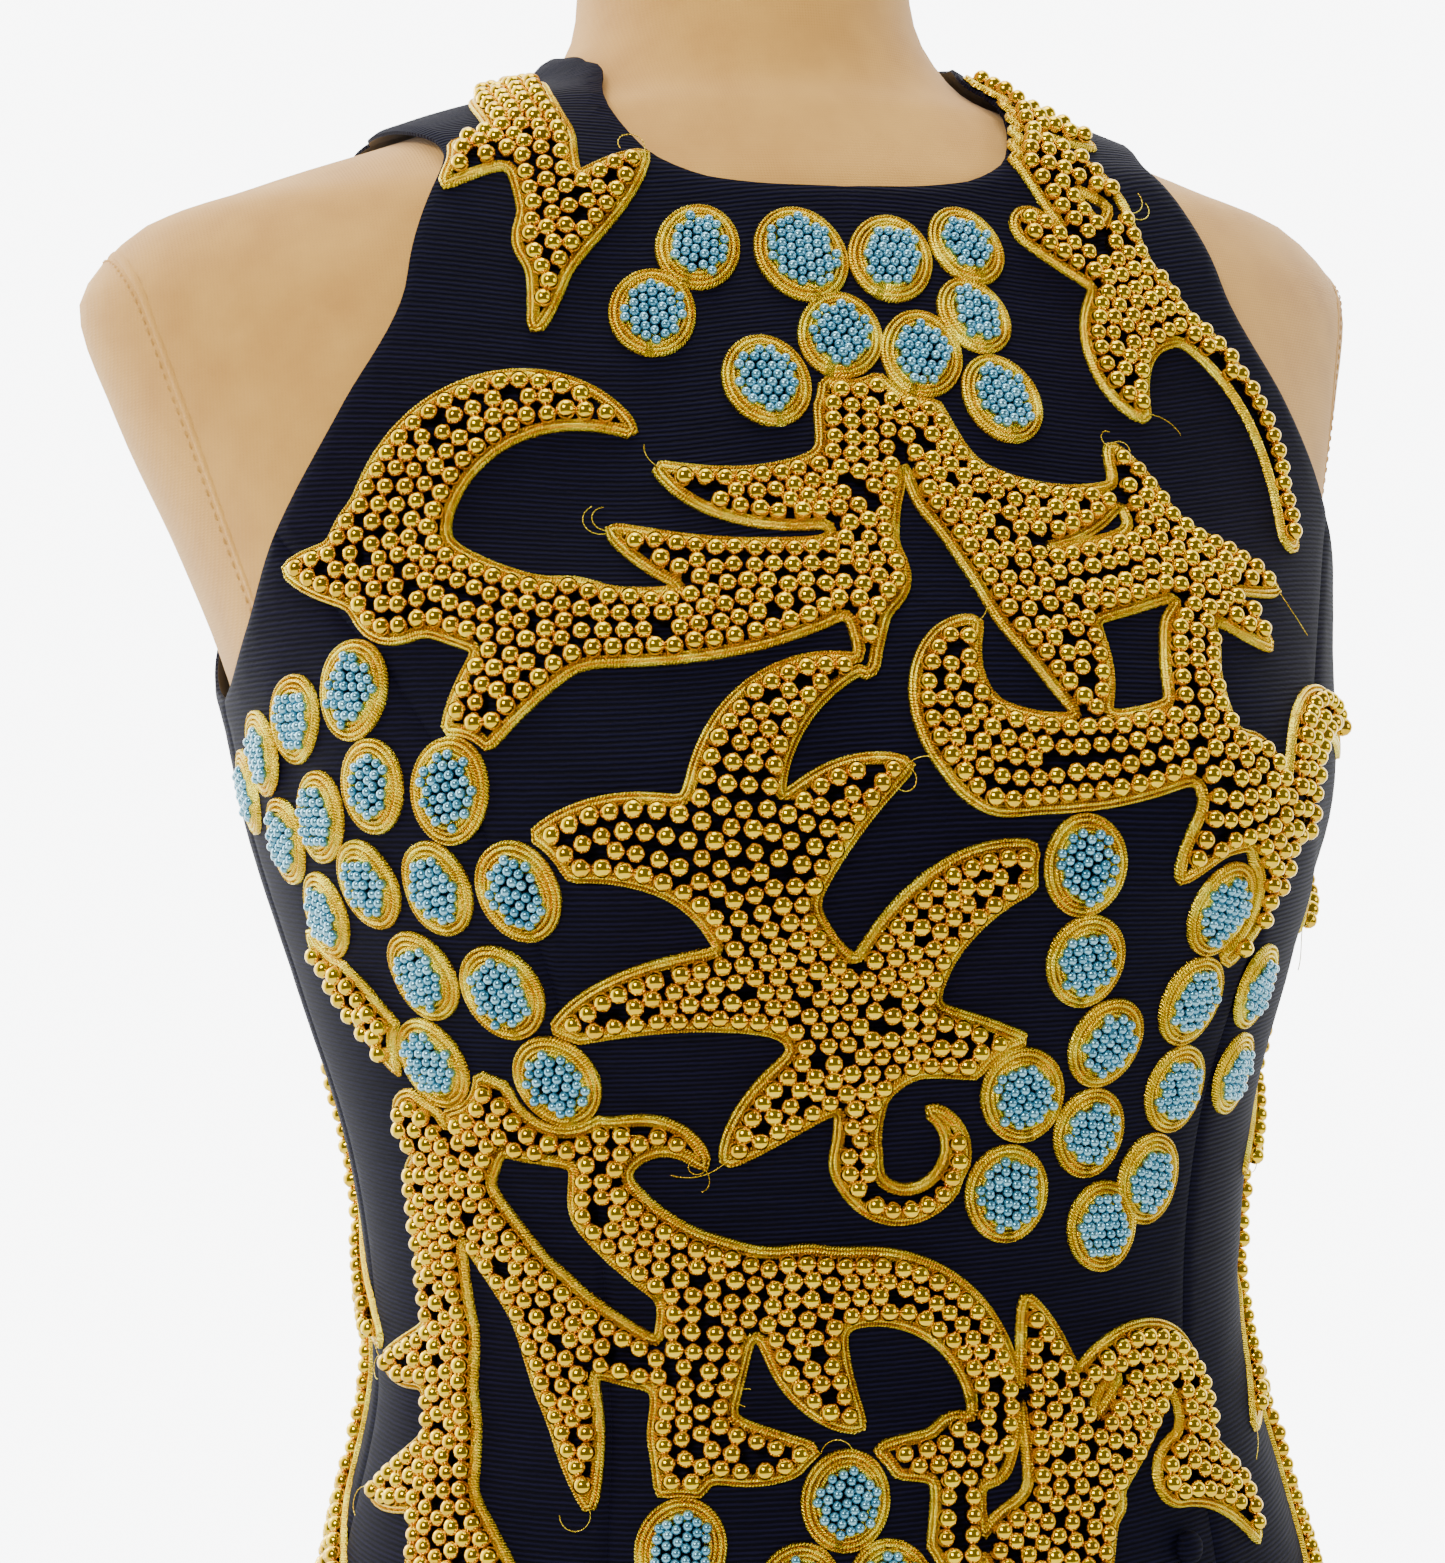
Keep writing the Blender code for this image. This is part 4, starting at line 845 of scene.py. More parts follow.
@dataclass(frozen=True)
class Finish:
    """What a surface is made of, and how the light meets it."""

    name: str
    roughness: float
    metallic: float = 0.0
    sheen: float = 0.0
    coat: float = 0.0
    coat_roughness: float = 0.1
    specular: float = 0.5

    def start(self) -> tuple[bpy.types.Material, bpy.types.NodeTree, bpy.types.Node]:
        """A material with its shader's own numbers set.

        Returns:
            The material, its nodes and its shader.
        """
        made = bpy.data.materials.new(self.name)
        made.use_nodes = True
        shader = made.node_tree.nodes["Principled BSDF"]
        for socket, value in (
            ("Roughness", self.roughness), ("Metallic", self.metallic), ("Sheen Weight", self.sheen),
            ("Coat Weight", self.coat), ("Coat Roughness", self.coat_roughness),
            ("Specular IOR Level", self.specular),
        ):
            shader.inputs[socket].default_value = value
        return made, made.node_tree, shader

    def paint(
        self, shader: bpy.types.Node, colour: bpy.types.NodeSocket, normal: bpy.types.NodeSocket | None = None
    ) -> None:
        """Links a colour, and a normal where there is one, to the shader.

        Args:
            shader: The shader.
            colour: The colour.
            normal: The normal.
        """
        links = shader.id_data.links
        links.new(colour, shader.inputs["Base Color"])
        if normal is not None:
            links.new(normal, shader.inputs["Normal"])


@dataclass(frozen=True)
class RibbedFaille(Finish):
    """Midnight faille: a silk-and-cotton cloth whose thick wefts stand up as level ribs.

    The fine warps over the ribs catch a little light, and the furrows between are painted nearly black as
    their shade.
    """

    name: str = "ribbed_faille_midnight"
    roughness: float = 0.7
    sheen: float = 0.0
    specular: float = 0.05
    # Painted shade: the colour of the furrows between the ribs
    furrow_shade: str = "#06060f"
    rib: str = "#11142d"
    warm: str = "#17112a"
    rib_pitch_mm: float = 1.35
    lint: str = "#8d90a0"

    def build(self) -> bpy.types.Material:
        """The material, whose ribs follow the cloth's own lengths."""
        made, tree, shader = self.start()
        grain = add_node(tree, "UVMap", uv_map="grain").outputs["UV"]
        ribs = waves(tree, grain, self.rib_pitch_mm, "Y", {
            "Distortion": 1.1, "Detail": 3.0, "Detail Scale": 1.4, "Detail Roughness": 0.6,
        })
        yarn = noise(tree, scaled(tree, grain, (0.035, 0.62, 1.0)), 1.0, 4.0, Roughness=0.7)
        tint = blended(tree, noise(tree, object_space(tree), 9.0, 3.0), self.rib, self.warm)
        share = add_node(tree, "Math", {"0": ribs, "1": yarn}, operation="MULTIPLY").outputs[0]
        # Painted shade: the colour goes nearly black in the furrows between the ribs and keeps the rib colour
        # on them
        cloth = blended(tree, ranged(tree, share, 0.10, 0.62), self.furrow_shade, tint)
        specks = add_node(tree, "TexVoronoi", {"Vector": grain, "Scale": 0.02, "Randomness": 1.0})
        speck = add_node(tree, "Math", {"0": specks.outputs["Distance"], "1": 0.006}, operation="LESS_THAN")
        colour = blended(tree, speck.outputs[0], cloth, self.lint)
        self.paint(shader, colour, bumped(tree, sums(tree, ribs, 0.8, yarn), 0.65, 0.0004))
        shader.inputs["Sheen Roughness"].default_value = 0.5
        shader.inputs["Sheen Tint"].default_value = linear("#6a7090")
        return made


@dataclass(frozen=True)
class AcetateLining(Finish):
    """The lining: smooth dark acetate that shimmers a little."""

    name: str = "acetate_lining"
    roughness: float = 0.45
    sheen: float = 0.15
    dark: str = "#15172a"
    light: str = "#1f2238"

    def build(self) -> bpy.types.Material:
        """The material."""
        made, tree, shader = self.start()
        self.paint(shader, blended(tree, noise(tree, object_space(tree), 60.0, 3.0), self.dark, self.light))
        return made


@dataclass(frozen=True)
class PlatedBead(Finish):
    """Gold-plated plastic beads: a mirror skin whose shade differs a little from bead to bead."""

    name: str = "gold_plated_beads"
    roughness: float = 0.15
    metallic: float = 1.0
    pale: str = "#f7d414"
    deep: str = "#d5a50a"

    def build(self) -> bpy.types.Material:
        """The material, which reads each bead's own tone."""
        made, tree, shader = self.start()
        tone = add_node(tree, "Attribute", attribute_name="tone").outputs["Fac"]
        wear = noise(tree, object_space(tree), 700.0, 2.0)
        colour = blended(tree, sums(tree, wear, 0.35, tone), self.pale, self.deep)
        self.paint(shader, colour, bumped(tree, wear, 0.12, 0.0001))
        return made


@dataclass(frozen=True)
class BluePearl(Finish):
    """Glass pearls dipped in blue lacquer: a soft body colour under a clear, glossy skin."""

    name: str = "blue_pearl_beads"
    roughness: float = 0.24
    metallic: float = 0.8
    coat: float = 1.0
    coat_roughness: float = 0.12
    pale: str = "#92d2e4"
    deep: str = "#3a90ae"

    def build(self) -> bpy.types.Material:
        """The material, which reads each pearl's own tone."""
        made, tree, shader = self.start()
        tone = add_node(tree, "Attribute", attribute_name="tone").outputs["Fac"]
        cloud = noise(tree, object_space(tree), 260.0, 2.0)
        self.paint(shader, blended(tree, sums(tree, cloud, 0.4, tone), self.pale, self.deep))
        return made


@dataclass(frozen=True)
class MetalThreadBraid(Finish):
    """Soutache braid: three cords wrapped in gilt metal thread, whose slanting turns sparkle."""

    name: str = "gilt_thread_braid"
    roughness: float = 0.27
    metallic: float = 1.0
    pale: str = "#fff04a"
    gold: str = "#ffd816"
    # The colour painted in the grooves between the thread's turns as their shade
    dark: str = "#a07a0c"
    turn_pitch_mm: float = 0.62
    slant: float = 38

    def build(self) -> bpy.types.Material:
        """The material, whose turns slant along the cord, with shade painted dark in the grooves between
        them.
        """
        made, tree, shader = self.start()
        slanted = add_node(tree, "Mapping", {
            "Vector": add_node(tree, "UVMap", uv_map="grain").outputs["UV"],
            "Rotation": (0.0, 0.0, math.radians(self.slant)),
        }).outputs["Vector"]
        turns = waves(tree, slanted, self.turn_pitch_mm, "X", {
            "Distortion": 2.2, "Detail": 2.0, "Detail Scale": 2.0,
        })
        place = object_space(tree)
        mixed = sums(tree, turns, 0.55, noise(tree, place, 1500.0, 3.0))
        # Painted shade: the colour darkens to the dark gold in the grooves between the turns
        thread = blended(tree, ranged(tree, mixed, 0.35, 1.0), self.dark, self.gold)
        glow = ranged(tree, noise(tree, place, 120.0, 2.0), 0.46, 0.78)
        self.paint(shader, blended(tree, glow, thread, self.pale), bumped(tree, mixed, 0.9, 0.00035))
        return made


@dataclass(frozen=True)
class FormLinen(Finish):
    """Natural linen stretched over a moulded body: a matt, faintly uneven plain weave."""

    name: str = "form_linen"
    roughness: float = 0.85
    sheen: float = 0.2
    specular: float = 0.25
    pale: str = "#dea852"
    deep: str = "#c68f42"
    thread_mm: float = 0.8

    def build(self) -> bpy.types.Material:
        """The material. Its threads are drawn coarser than real ones, so that they show."""
        made, tree, shader = self.start()
        place = object_space(tree)
        level, upright = (
            waves(tree, place, self.thread_mm * MM, way, {"Distortion": 1.5, "Detail": 2.0}) for way in "ZX"
        )
        weave = add_node(tree, "Math", {"0": level, "1": upright}, operation="MULTIPLY").outputs[0]
        slub, broad = noise(tree, place, 55.0, 5.0), noise(tree, place, 8.0, 2.0)
        both = add_node(tree, "Mix", {"Factor": 0.5, "2": slub, "3": broad}).outputs[0]
        colour = blended(tree, ranged(tree, both, 0.35, 0.65), self.pale, self.deep)
        fine = bumped(tree, weave, 0.35, 0.0002)
        self.paint(shader, colour, bumped(tree, broad, 0.3, 0.004, Normal=fine))
        return made


@dataclass(frozen=True)
class PlainMetal(Finish):
    """Metal with a fine brushed or tumbled skin."""

    tint: str = "#8f7440"
    shadow: str = "#4b3a1c"
    stretch: tuple[float, float, float] = (1.0, 1.0, 1.0)

    def build(self) -> bpy.types.Material:
        """The material, with brush marks along the stretched way."""
        made, tree, shader = self.start()
        marks = noise(tree, scaled(tree, object_space(tree), self.stretch), 400.0, 4.0)
        self.paint(shader, blended(tree, marks, self.tint, self.shadow), bumped(tree, marks, 0.15, 0.0002))
        return made


@dataclass(frozen=True)
class StainedBeech(Finish):
    """Turned beech, stained dark and lacquered: short flecks along the grain under a satin skin."""

    name: str = "stained_beech"
    roughness: float = 0.38
    coat: float = 0.25
    coat_roughness: float = 0.25
    pale: str = "#6b4228"
    deep: str = "#38200f"
    ring_mm: float = 5.0

    def build(self) -> bpy.types.Material:
        """The material, whose rings run along X."""
        made, tree, shader = self.start()
        drawn = scaled(tree, object_space(tree), (0.12, 1.0, 1.0))
        rings = waves(tree, drawn, self.ring_mm * MM, "Y", {
            "Distortion": 6.0, "Detail": 3.0, "Detail Scale": 0.6,
        })
        flecks = noise(tree, drawn, 380.0, 4.0)
        share = add_node(tree, "Mix", {"Factor": 0.45, "2": rings, "3": flecks}).outputs[0]
        self.paint(shader, blended(tree, share, self.deep, self.pale), bumped(tree, flecks, 0.1, 0.0002))
        return made


# The cut of the dress


@dataclass
class DressCut:
    """The dress's seven panels, as closed outlines of (angle, run) on the figure."""

    pitch: float = 4.0

    def seam_angle(self, places: Sequence[Place], run: Any) -> np.ndarray:
        """Angle of a seam at a run, in radians."""
        x = FIGURE.run_at(np.array([p.height for p in places], float))
        y = np.radians([p.angle for p in places])
        return curve_at(x, y, curve_slopes(x, y), run)

    def neck_run(self, angle: Any) -> np.ndarray:
        """Run of the neck edge at an angle of either sign."""
        x = np.radians([p.angle for p in NECKLINE])
        y = FIGURE.run_at(np.array([p.height for p in NECKLINE], float))
        return curve_at(x, y, curve_slopes(x, y), np.abs(angle))

    def armhole(self, places: Sequence[Place]) -> np.ndarray:
        """The armhole's front or back half.

        Args:
            places: The places that it passes.

        Returns:
            Its line (angle, run), from the underarm to the shoulder.
        """
        run = FIGURE.run_at(np.array([p.height for p in places], float))
        angle = np.radians([p.angle for p in places])
        way = np.concatenate([[0], np.cumsum(np.hypot(np.diff(run), ARMHOLE_GIRTH * np.diff(angle)))])
        at = steps(0, way[-1], self.pitch)
        angles = curve_at(way, angle, curve_slopes(way, angle), at)
        return np.stack([angles, curve_at(way, run, curve_slopes(way, run), at)], -1)

    def shifted(self, points: np.ndarray, by: Any) -> np.ndarray:
        """Points moved round the figure by a length in mm."""
        moved = points.copy()
        moved[:, 0] += by / np.linalg.norm(FIGURE.ways(points)[0], axis=1)
        return moved

    def seam_line(self, places: Sequence[Place], low: float, high: float) -> np.ndarray:
        """A seam from one run up to another."""
        runs = steps(low, high, self.pitch)
        return np.stack([self.seam_angle(places, runs), runs], -1)

    def upright_line(self, angle: float, low: float, high: float) -> np.ndarray:
        """A line at one angle from one run up to another."""
        runs = steps(low, high, self.pitch)
        return np.stack([np.full(len(runs), angle), runs], -1)

    def level_line(self, first: float, last: float) -> np.ndarray:
        """The hem from one angle to another."""
        angles = steps(first, last, self.pitch / 160)
        return np.stack([angles, np.full(len(angles), HEM)], -1)

    def neck_line(self, first: float, last: float) -> np.ndarray:
        """The neck edge from one angle to another."""
        angles = steps(first, last, self.pitch / 90)
        return np.stack([angles, self.neck_run(angles)], -1)

    def armhole_parts(self, places: Sequence[Place]) -> tuple[np.ndarray, np.ndarray]:
        """The armhole's two parts, which meet where the princess seam ends.

        Args:
            places: The places that the armhole's half passes.

        Returns:
            The part below and the part above.
        """
        line = self.armhole(places)
        k = int(np.searchsorted(line[:, 1], JUNCTION))
        seam = FRONT_SEAM if places is ARMHOLE_FRONT else BACK_SEAM
        meet = np.array([[self.seam_angle(seam, JUNCTION), JUNCTION]])
        return np.concatenate([line[:k], meet]), np.concatenate([meet, line[k:]])

    def joined(self, *lines: np.ndarray) -> np.ndarray:
        """Lines end to end as one closed outline, without points that nearly coincide."""
        points: list[np.ndarray] = []
        for point in np.concatenate(lines):
            if not points or np.hypot((point[0] - points[-1][0]) * 60, point[1] - points[-1][1]) > 1.2:
                points.append(point)
        return np.array(points)

    def front_centre(self) -> np.ndarray:
        """The centre front panel, cut on the fold."""
        seam = self.shifted(self.seam_line(FRONT_SEAM, HEM, JUNCTION), -HALF)
        above = self.shifted(self.armhole_parts(ARMHOLE_FRONT)[1], -HALF)
        top = self.upright_line(
            math.pi / 2, FIGURE.run_at(ARMHOLE_FRONT[-1].height), float(self.neck_run(math.pi / 2))
        )
        shoulder = self.shifted(top, -HALF)
        neck = self.neck_line(shoulder[-1, 0], 0)
        half = np.concatenate([seam, above[1:], shoulder[1:], neck[1:]])
        right = self.joined(self.level_line(0, seam[0, 0]), half[1:])
        return np.concatenate([right, (right[::-1] * [-1, 1])[1:-1]])

    def side_front(self) -> np.ndarray:
        """The wearer's left side front panel."""
        seam = self.shifted(self.seam_line(FRONT_SEAM, HEM, JUNCTION), HALF)
        under = self.armhole_parts(ARMHOLE_FRONT)[0]
        side = self.shifted(self.upright_line(math.pi / 2, HEM, under[0, 1]), -HALF)
        hem = self.level_line(seam[0, 0], side[0, 0])
        return self.joined(hem, side[1:], under[1:-1], seam[::-1][:-1])

    def side_back(self) -> np.ndarray:
        """The wearer's left side back panel."""
        seam = self.shifted(self.seam_line(BACK_SEAM, HEM, JUNCTION), -HALF)
        under = self.armhole_parts(ARMHOLE_BACK)[0]
        side = self.shifted(self.upright_line(math.pi / 2, HEM, under[0, 1]), HALF)
        hem = self.level_line(side[0, 0], seam[0, 0])
        return self.joined(hem, seam[1:], under[::-1][1:], side[::-1][1:-1])

    def back(self) -> np.ndarray:
        """The wearer's left back panel, which leaves room for the zip."""
        seam = self.shifted(self.seam_line(BACK_SEAM, HEM, JUNCTION), HALF)
        above = self.shifted(self.armhole_parts(ARMHOLE_BACK)[1], HALF)
        top = self.upright_line(
            math.pi / 2, FIGURE.run_at(ARMHOLE_BACK[-1].height), float(self.neck_run(math.pi / 2))
        )
        shoulder = self.shifted(top, HALF)
        low, high = FIGURE.run_at(ZIP_BOTTOM), float(self.neck_run(math.pi))
        back = np.concatenate([steps(HEM, low - 3, self.pitch), steps(low - 1, high, self.pitch)])
        edge = np.stack([np.full(len(back), math.pi), back], -1)
        edge = self.shifted(edge, -np.where(back < low - 2, HALF, CHAIN_WIDE / 2 + SEAM))
        neck = self.neck_line(edge[-1, 0], shoulder[-1, 0])
        left = np.concatenate([seam, above[1:], shoulder[1:]])
        hem = self.level_line(seam[0, 0], edge[0, 0])
        return self.joined(hem, edge[1:], neck[1:-1], left[::-1][:-1])

    def panels(self) -> dict[str, np.ndarray]:
        """Each panel's name and outline."""
        found = {"front_centre": self.front_centre()}
        for name, outline in (
            ("side_front", self.side_front()), ("side_back", self.side_back()), ("back", self.back()),
        ):
            found[f"{name}_left"] = outline
            found[f"{name}_right"] = outline[::-1] * [-1, 1]
        return found

    def openings(self) -> list[np.ndarray]:
        """The edges that the beadwork keeps off: both armholes, the neck and both sides of the zip."""
        front, back = self.armhole(ARMHOLE_FRONT), self.armhole(ARMHOLE_BACK)
        hole = np.concatenate([front, back[::-1][1:-1]])
        neck = self.neck_line(-math.pi, math.pi)
        zip_side = self.shifted(
            self.upright_line(math.pi, HEM, float(self.neck_run(math.pi))), -(CHAIN_WIDE / 2 + SEAM)
        )
        return [hole, hole * [-1, 1], neck, zip_side, zip_side * [-1, 1]]


class Crease(NamedTuple):
    """A soft ridge, or a trough where its depth is negative, that walks over the cloth."""

    angle: float
    height: float
    heading: float
    length: float
    turn: float
    wide: float
    depth: float


CREASES = (
    # Pulls from the bust to the princess seams and the side
    Crease(-52, 1206, -148, 60, 18, 7, -1.2), Crease(-56, 1190, -160, 52, 10, 6, 0.9),
    Crease(-60, 1172, -172, 46, -8, 6, -0.9), Crease(54, 1204, -34, 66, -14, 7, -1.3),
    Crease(58, 1186, -22, 54, 8, 6, 1.0), Crease(62, 1168, -10, 40, 10, 6, -0.8),
    # Drags under the arms
    Crease(-66, 1256, -118, 70, 22, 8, -1.1), Crease(-72, 1250, -104, 58, 12, 6, 1.0),
    Crease(68, 1254, -64, 74, -24, 8, -1.2), Crease(74, 1248, -78, 50, -8, 6, 0.9),
    Crease(112, 1250, -112, 66, 18, 8, -1.1), Crease(-114, 1248, -66, 62, -16, 8, -1.2),
    # Wrinkles round the waist, where the cloth settles
    Crease(-84, 1074, 4, 92, 10, 6, -1.1), Crease(-92, 1062, -6, 84, 14, 6, 1.1),
    Crease(-78, 1050, 8, 96, -12, 7, -1.0), Crease(-30, 1068, 10, 64, -18, 7, 0.8),
    Crease(18, 1058, -6, 70, 12, 7, -0.8), Crease(62, 1072, -2, 88, -8, 6, -1.1),
    Crease(72, 1060, 8, 80, -14, 6, 1.2), Crease(66, 1046, 2, 92, 10, 7, -0.9),
    Crease(118, 1078, 2, 96, 12, 7, -1.1), Crease(112, 1062, -8, 84, 10, 7, 1.1),
    Crease(-158, 1076, 6, 94, -14, 7, -1.2), Crease(-150, 1058, -4, 82, 8, 7, 1.0),
    Crease(134, 1044, 4, 76, -8, 8, -1.0), Crease(-140, 1040, 8, 64, 12, 8, -0.9),
    # Long soft folds of the skirt
    Crease(-64, 930, -84, 330, 6, 16, -1.6), Crease(-82, 860, -92, 300, -8, 15, 1.7),
    Crease(-24, 820, -96, 260, 8, 18, 1.4), Crease(8, 850, -86, 290, -6, 17, -1.5),
    Crease(38, 800, -92, 250, 10, 16, 1.5), Crease(70, 930, -96, 340, -8, 16, -1.6),
    Crease(94, 850, -88, 300, 6, 15, 1.7), Crease(124, 900, -94, 330, 8, 16, -1.6),
    Crease(152, 840, -86, 280, -8, 17, 1.5), Crease(-166, 880, -92, 320, 6, 16, -1.5),
    Crease(-134, 820, -88, 260, 8, 15, 1.6), Crease(-106, 920, -94, 330, -10, 16, -1.6),
    # Slight swells of the chest and the shoulder blades
    Crease(-22, 1290, -70, 70, 20, 12, 0.8), Crease(26, 1300, -108, 60, -18, 12, -0.8),
    Crease(150, 1330, -80, 90, 14, 12, -1.0), Crease(-146, 1322, -102, 84, -12, 12, 0.9),
)


@dataclass
class Drape:
    """How the cloth lies over the figure: its creases, and its edges that turn in."""

    points: int = 14
    dip: float = 0.85
    dip_wide: float = 1.3
    hem_tall: float = 42.0
    paths: list[tuple[np.ndarray, np.ndarray, Crease]] = field(default_factory=list)

    def __post_init__(self) -> None:
        """Walks every crease over the figure."""
        angle, height, heading, length, turn = np.array(CREASES, float)[:, :5].T
        angles, runs, _ = FIGURE.walk(
            np.radians(angle), FIGURE.run_at(height), np.radians(heading), length, turn, self.points,
        )
        part = np.linspace(0, 1, self.points)
        swell = np.sin(np.pi * part) ** 0.7
        for k, row in enumerate(CREASES):
            self.paths.append((FIGURE.at(angles[k], runs[k]), swell, row))

    def lift(self, places: np.ndarray) -> np.ndarray:
        """How far creases move the cloth.

        Args:
            places: Places (angle, run).

        Returns:
            Moves out in mm, with troughs below 0.
        """
        spots = FIGURE.spots(places)
        lifted = np.zeros(len(places))
        for path, swell, row in self.paths:
            reach = 2.6 * row.wide
            near = ((spots > path.min(0) - reach) & (spots < path.max(0) + reach)).all(1)
            if not near.any():
                continue
            starts, along = path[:-1], np.diff(path, axis=0)
            off = spots[near, None] - starts
            u = np.clip((off * along).sum(-1) / (along**2).sum(-1), 0, 1)
            away = np.linalg.norm(off - u[..., None] * along, axis=2)
            k = away.argmin(1)
            pick = np.arange(len(k))
            strength = swell[k] + (swell[k + 1] - swell[k]) * u[pick, k]
            lifted[near] += row.depth * strength * np.exp(-((away[pick, k] / row.wide) ** 2))
        return np.clip(lifted, -1.7, 2.4)

    def top(self, places: np.ndarray) -> np.ndarray:
        """How far the cloth's outer face stands off the figure, away from its edges."""
        return TOP_OF_CLOTH + self.lift(places)


# The sewn vine


def copies_of(rows: Sequence[Any]) -> list[tuple[Any, int]]:
    """Each row with the sign 1, and again with -1 for the other side where it has 2 copies."""
    return [(row, sign) for row in rows for sign in (1, -1)[:row.copies]]


def tapered(half_width: float, part: np.ndarray) -> np.ndarray:
    """Half widths along a leaf, which holds its width for long and then comes to a point."""
    return np.maximum(half_width * (1 - part**2.2) ** 0.8, 0.6)


@dataclass
class Vine:
    """The vine's leaves and stems as a field of depth over the chart, and its grapes as ovals."""

    cut: DressCut
    step: float = 1.2
    blend: float = 1.5
    from_edge: float = 1.2
    from_grape: float = 0.4
    from_button: float = 2.8
    lean: float = 0.35
    angles: np.ndarray = field(init=False)
    runs: np.ndarray = field(init=False)
    depth: np.ndarray = field(init=False)
    grapes: dict[str, np.ndarray] = field(init=False)
    tips: np.ndarray = field(init=False)

    def __post_init__(self) -> None:
        """Finds the grapes, then the depth of every place of a fine grid."""
        self.grapes = self.find_grapes()
        self.angles = np.arange(-math.pi, math.pi, self.step / GIRTH)
        self.runs = np.arange(FIGURE.run_at(VINE_BOTTOM) - 12, FIGURE.run_at(VINE_TOP), self.step)
        grid = np.stack(np.meshgrid(self.angles, self.runs, indexing="ij"), -1)
        flat = grid.reshape(-1, 2)
        spots = FIGURE.spots(flat)
        blended = np.full(len(flat), math.exp(OUTSIDE / self.blend))
        for centres, radii in self.strokes():
            self.reach(blended, spots, centres, radii)
        depth = np.minimum(self.blend * np.log(blended), self.clearance(spots, flat))
        self.depth = depth.reshape(grid.shape[:2])
        self.depth[[0, -1]] = OUTSIDE
        self.depth[:, [0, -1]] = OUTSIDE

    def strokes(self) -> list[tuple[np.ndarray, np.ndarray]]:
        """Every stem and leaf as a row of discs.

        Returns:
            Each row's centres in mm, and its radii.
        """
        count = 61
        part = np.linspace(0, 1, count)
        starts = copies_of(STEMS)
        headings = [math.radians(row.heading) for row, _ in starts]
        stems = FIGURE.walk(
            [math.radians(row.angle) * sign for row, sign in starts],
            FIGURE.run_at(np.array([row.height for row, _ in starts], float)),
            [heading if sign > 0 else math.pi - heading for heading, (_, sign) in zip(headings, starts)],
            [row.length for row, _ in starts], [row.turn * sign for row, sign in starts], count,
        )
        widths = [
            row.wide + (row.thin - row.wide) * part if row.thin else tapered(row.wide, part)
            for row, _ in starts
        ]
        rows = []
        for k, (stem, sign) in enumerate(starts):
            for leaf in (leaf for leaf in LEAVES if leaf.stem == stem.name):
                angle, run, heading = (np.interp(leaf.at, part, stems[i][k]) for i in range(3))
                rows.append((angle, run, heading + math.radians(leaf.spread) * sign, leaf, leaf.turn * sign))
        angles, runs, headings, leaves, turns = zip(*rows)
        blades = FIGURE.walk(angles, runs, headings, [leaf.length for leaf in leaves], turns, count)
        widths += [tapered(leaf.half_width, part) for leaf in leaves]
        self.tips = np.stack([value[:, -5] for value in blades], -1)
        angles = np.concatenate([stems[0], blades[0]])
        runs = np.concatenate([stems[1], blades[1]])
        return list(zip(FIGURE.at(angles, runs), widths))

    def reach(self, blended: np.ndarray, spots: np.ndarray, centres: np.ndarray, radii: np.ndarray) -> None:
        """Adds a row of discs to the places near it, so that it flows into its neighbours.

        Args:
            blended: The sums of exponentials of depth, changed in place.
            spots: Where they are, in mm.
            centres: The discs' centres.
            radii: Their radii.
        """
        far = radii.max() + 6
        near = np.nonzero(((spots > centres.min(0) - far) & (spots < centres.max(0) + far)).all(1))[0]
        for block in np.array_split(near, len(near) // 4000 + 1):
            away = np.linalg.norm(spots[block, None] - centres, axis=2)
            blended[block] += np.exp((radii - away).max(1) / self.blend)

    def clearance(self, spots: np.ndarray, flat: np.ndarray) -> np.ndarray:
        """How far places lie from all that the leaves keep off.

        Args:
            spots: The places' points in mm.
            flat: The places (angle, run).

        Returns:
            Distances in mm, which are below 0 where no leaf may be.
        """
        clear = np.full(len(flat), 99.0)
        openings = self.cut.openings()
        for line in openings:
            for part in np.array_split(FIGURE.spots(line), max(1, len(line) // 12)):
                near = ((spots > part.min(0) - 14) & (spots < part.max(0) + 14)).all(1)
                away = np.linalg.norm(spots[near, None] - part, axis=2).min(1)
                clear[near] = np.minimum(clear[near], away - self.from_edge)
        for spot, radius in zip(self.grapes["spot"], self.grapes["radius"]):
            near = (np.abs(spots - spot) < radius + 14).all(1)
            away = np.linalg.norm(spots[near] - spot, axis=1)
            clear[near] = np.minimum(clear[near], away - radius - self.from_grape)
        for side in (1, -1):
            spot = FIGURE.at(math.radians(side * BUTTON_ANGLE), FIGURE.run_at(BUTTON_Z))
            away = np.linalg.norm(spots - spot, axis=1)
            clear = np.minimum(clear, away - BUTTON_RADIUS - self.from_button)
        one_side = np.stack([np.abs(flat[:, 0]), flat[:, 1]], -1)
        out = inside(openings[0], one_side) | (flat[:, 1] > self.cut.neck_run(flat[:, 0]))
        clear[out] = OUTSIDE
        return np.minimum(clear, flat[:, 1] - FIGURE.run_at(VINE_BOTTOM))

    def find_grapes(self) -> dict[str, np.ndarray]:
        """The grapes of every bunch.

        Returns:
            Each grape's place, point, radius and the way that its longer side points.
        """
        rows = []
        for bunch, sign in copies_of(BUNCHES):
            for k, (angle, height, radius) in enumerate(bunch.grapes):
                lean = self.lean * math.sin(5 * k + height)
                rows.append((math.radians(angle) * sign, height, radius, -math.pi / 2 + lean))
        angle, height, radius, heading = np.array(rows).T
        place = np.stack([angle, FIGURE.run_at(height)], -1)
        spot = FIGURE.spots(place)
        return {"place": place, "spot": spot, "radius": radius, "heading": heading}

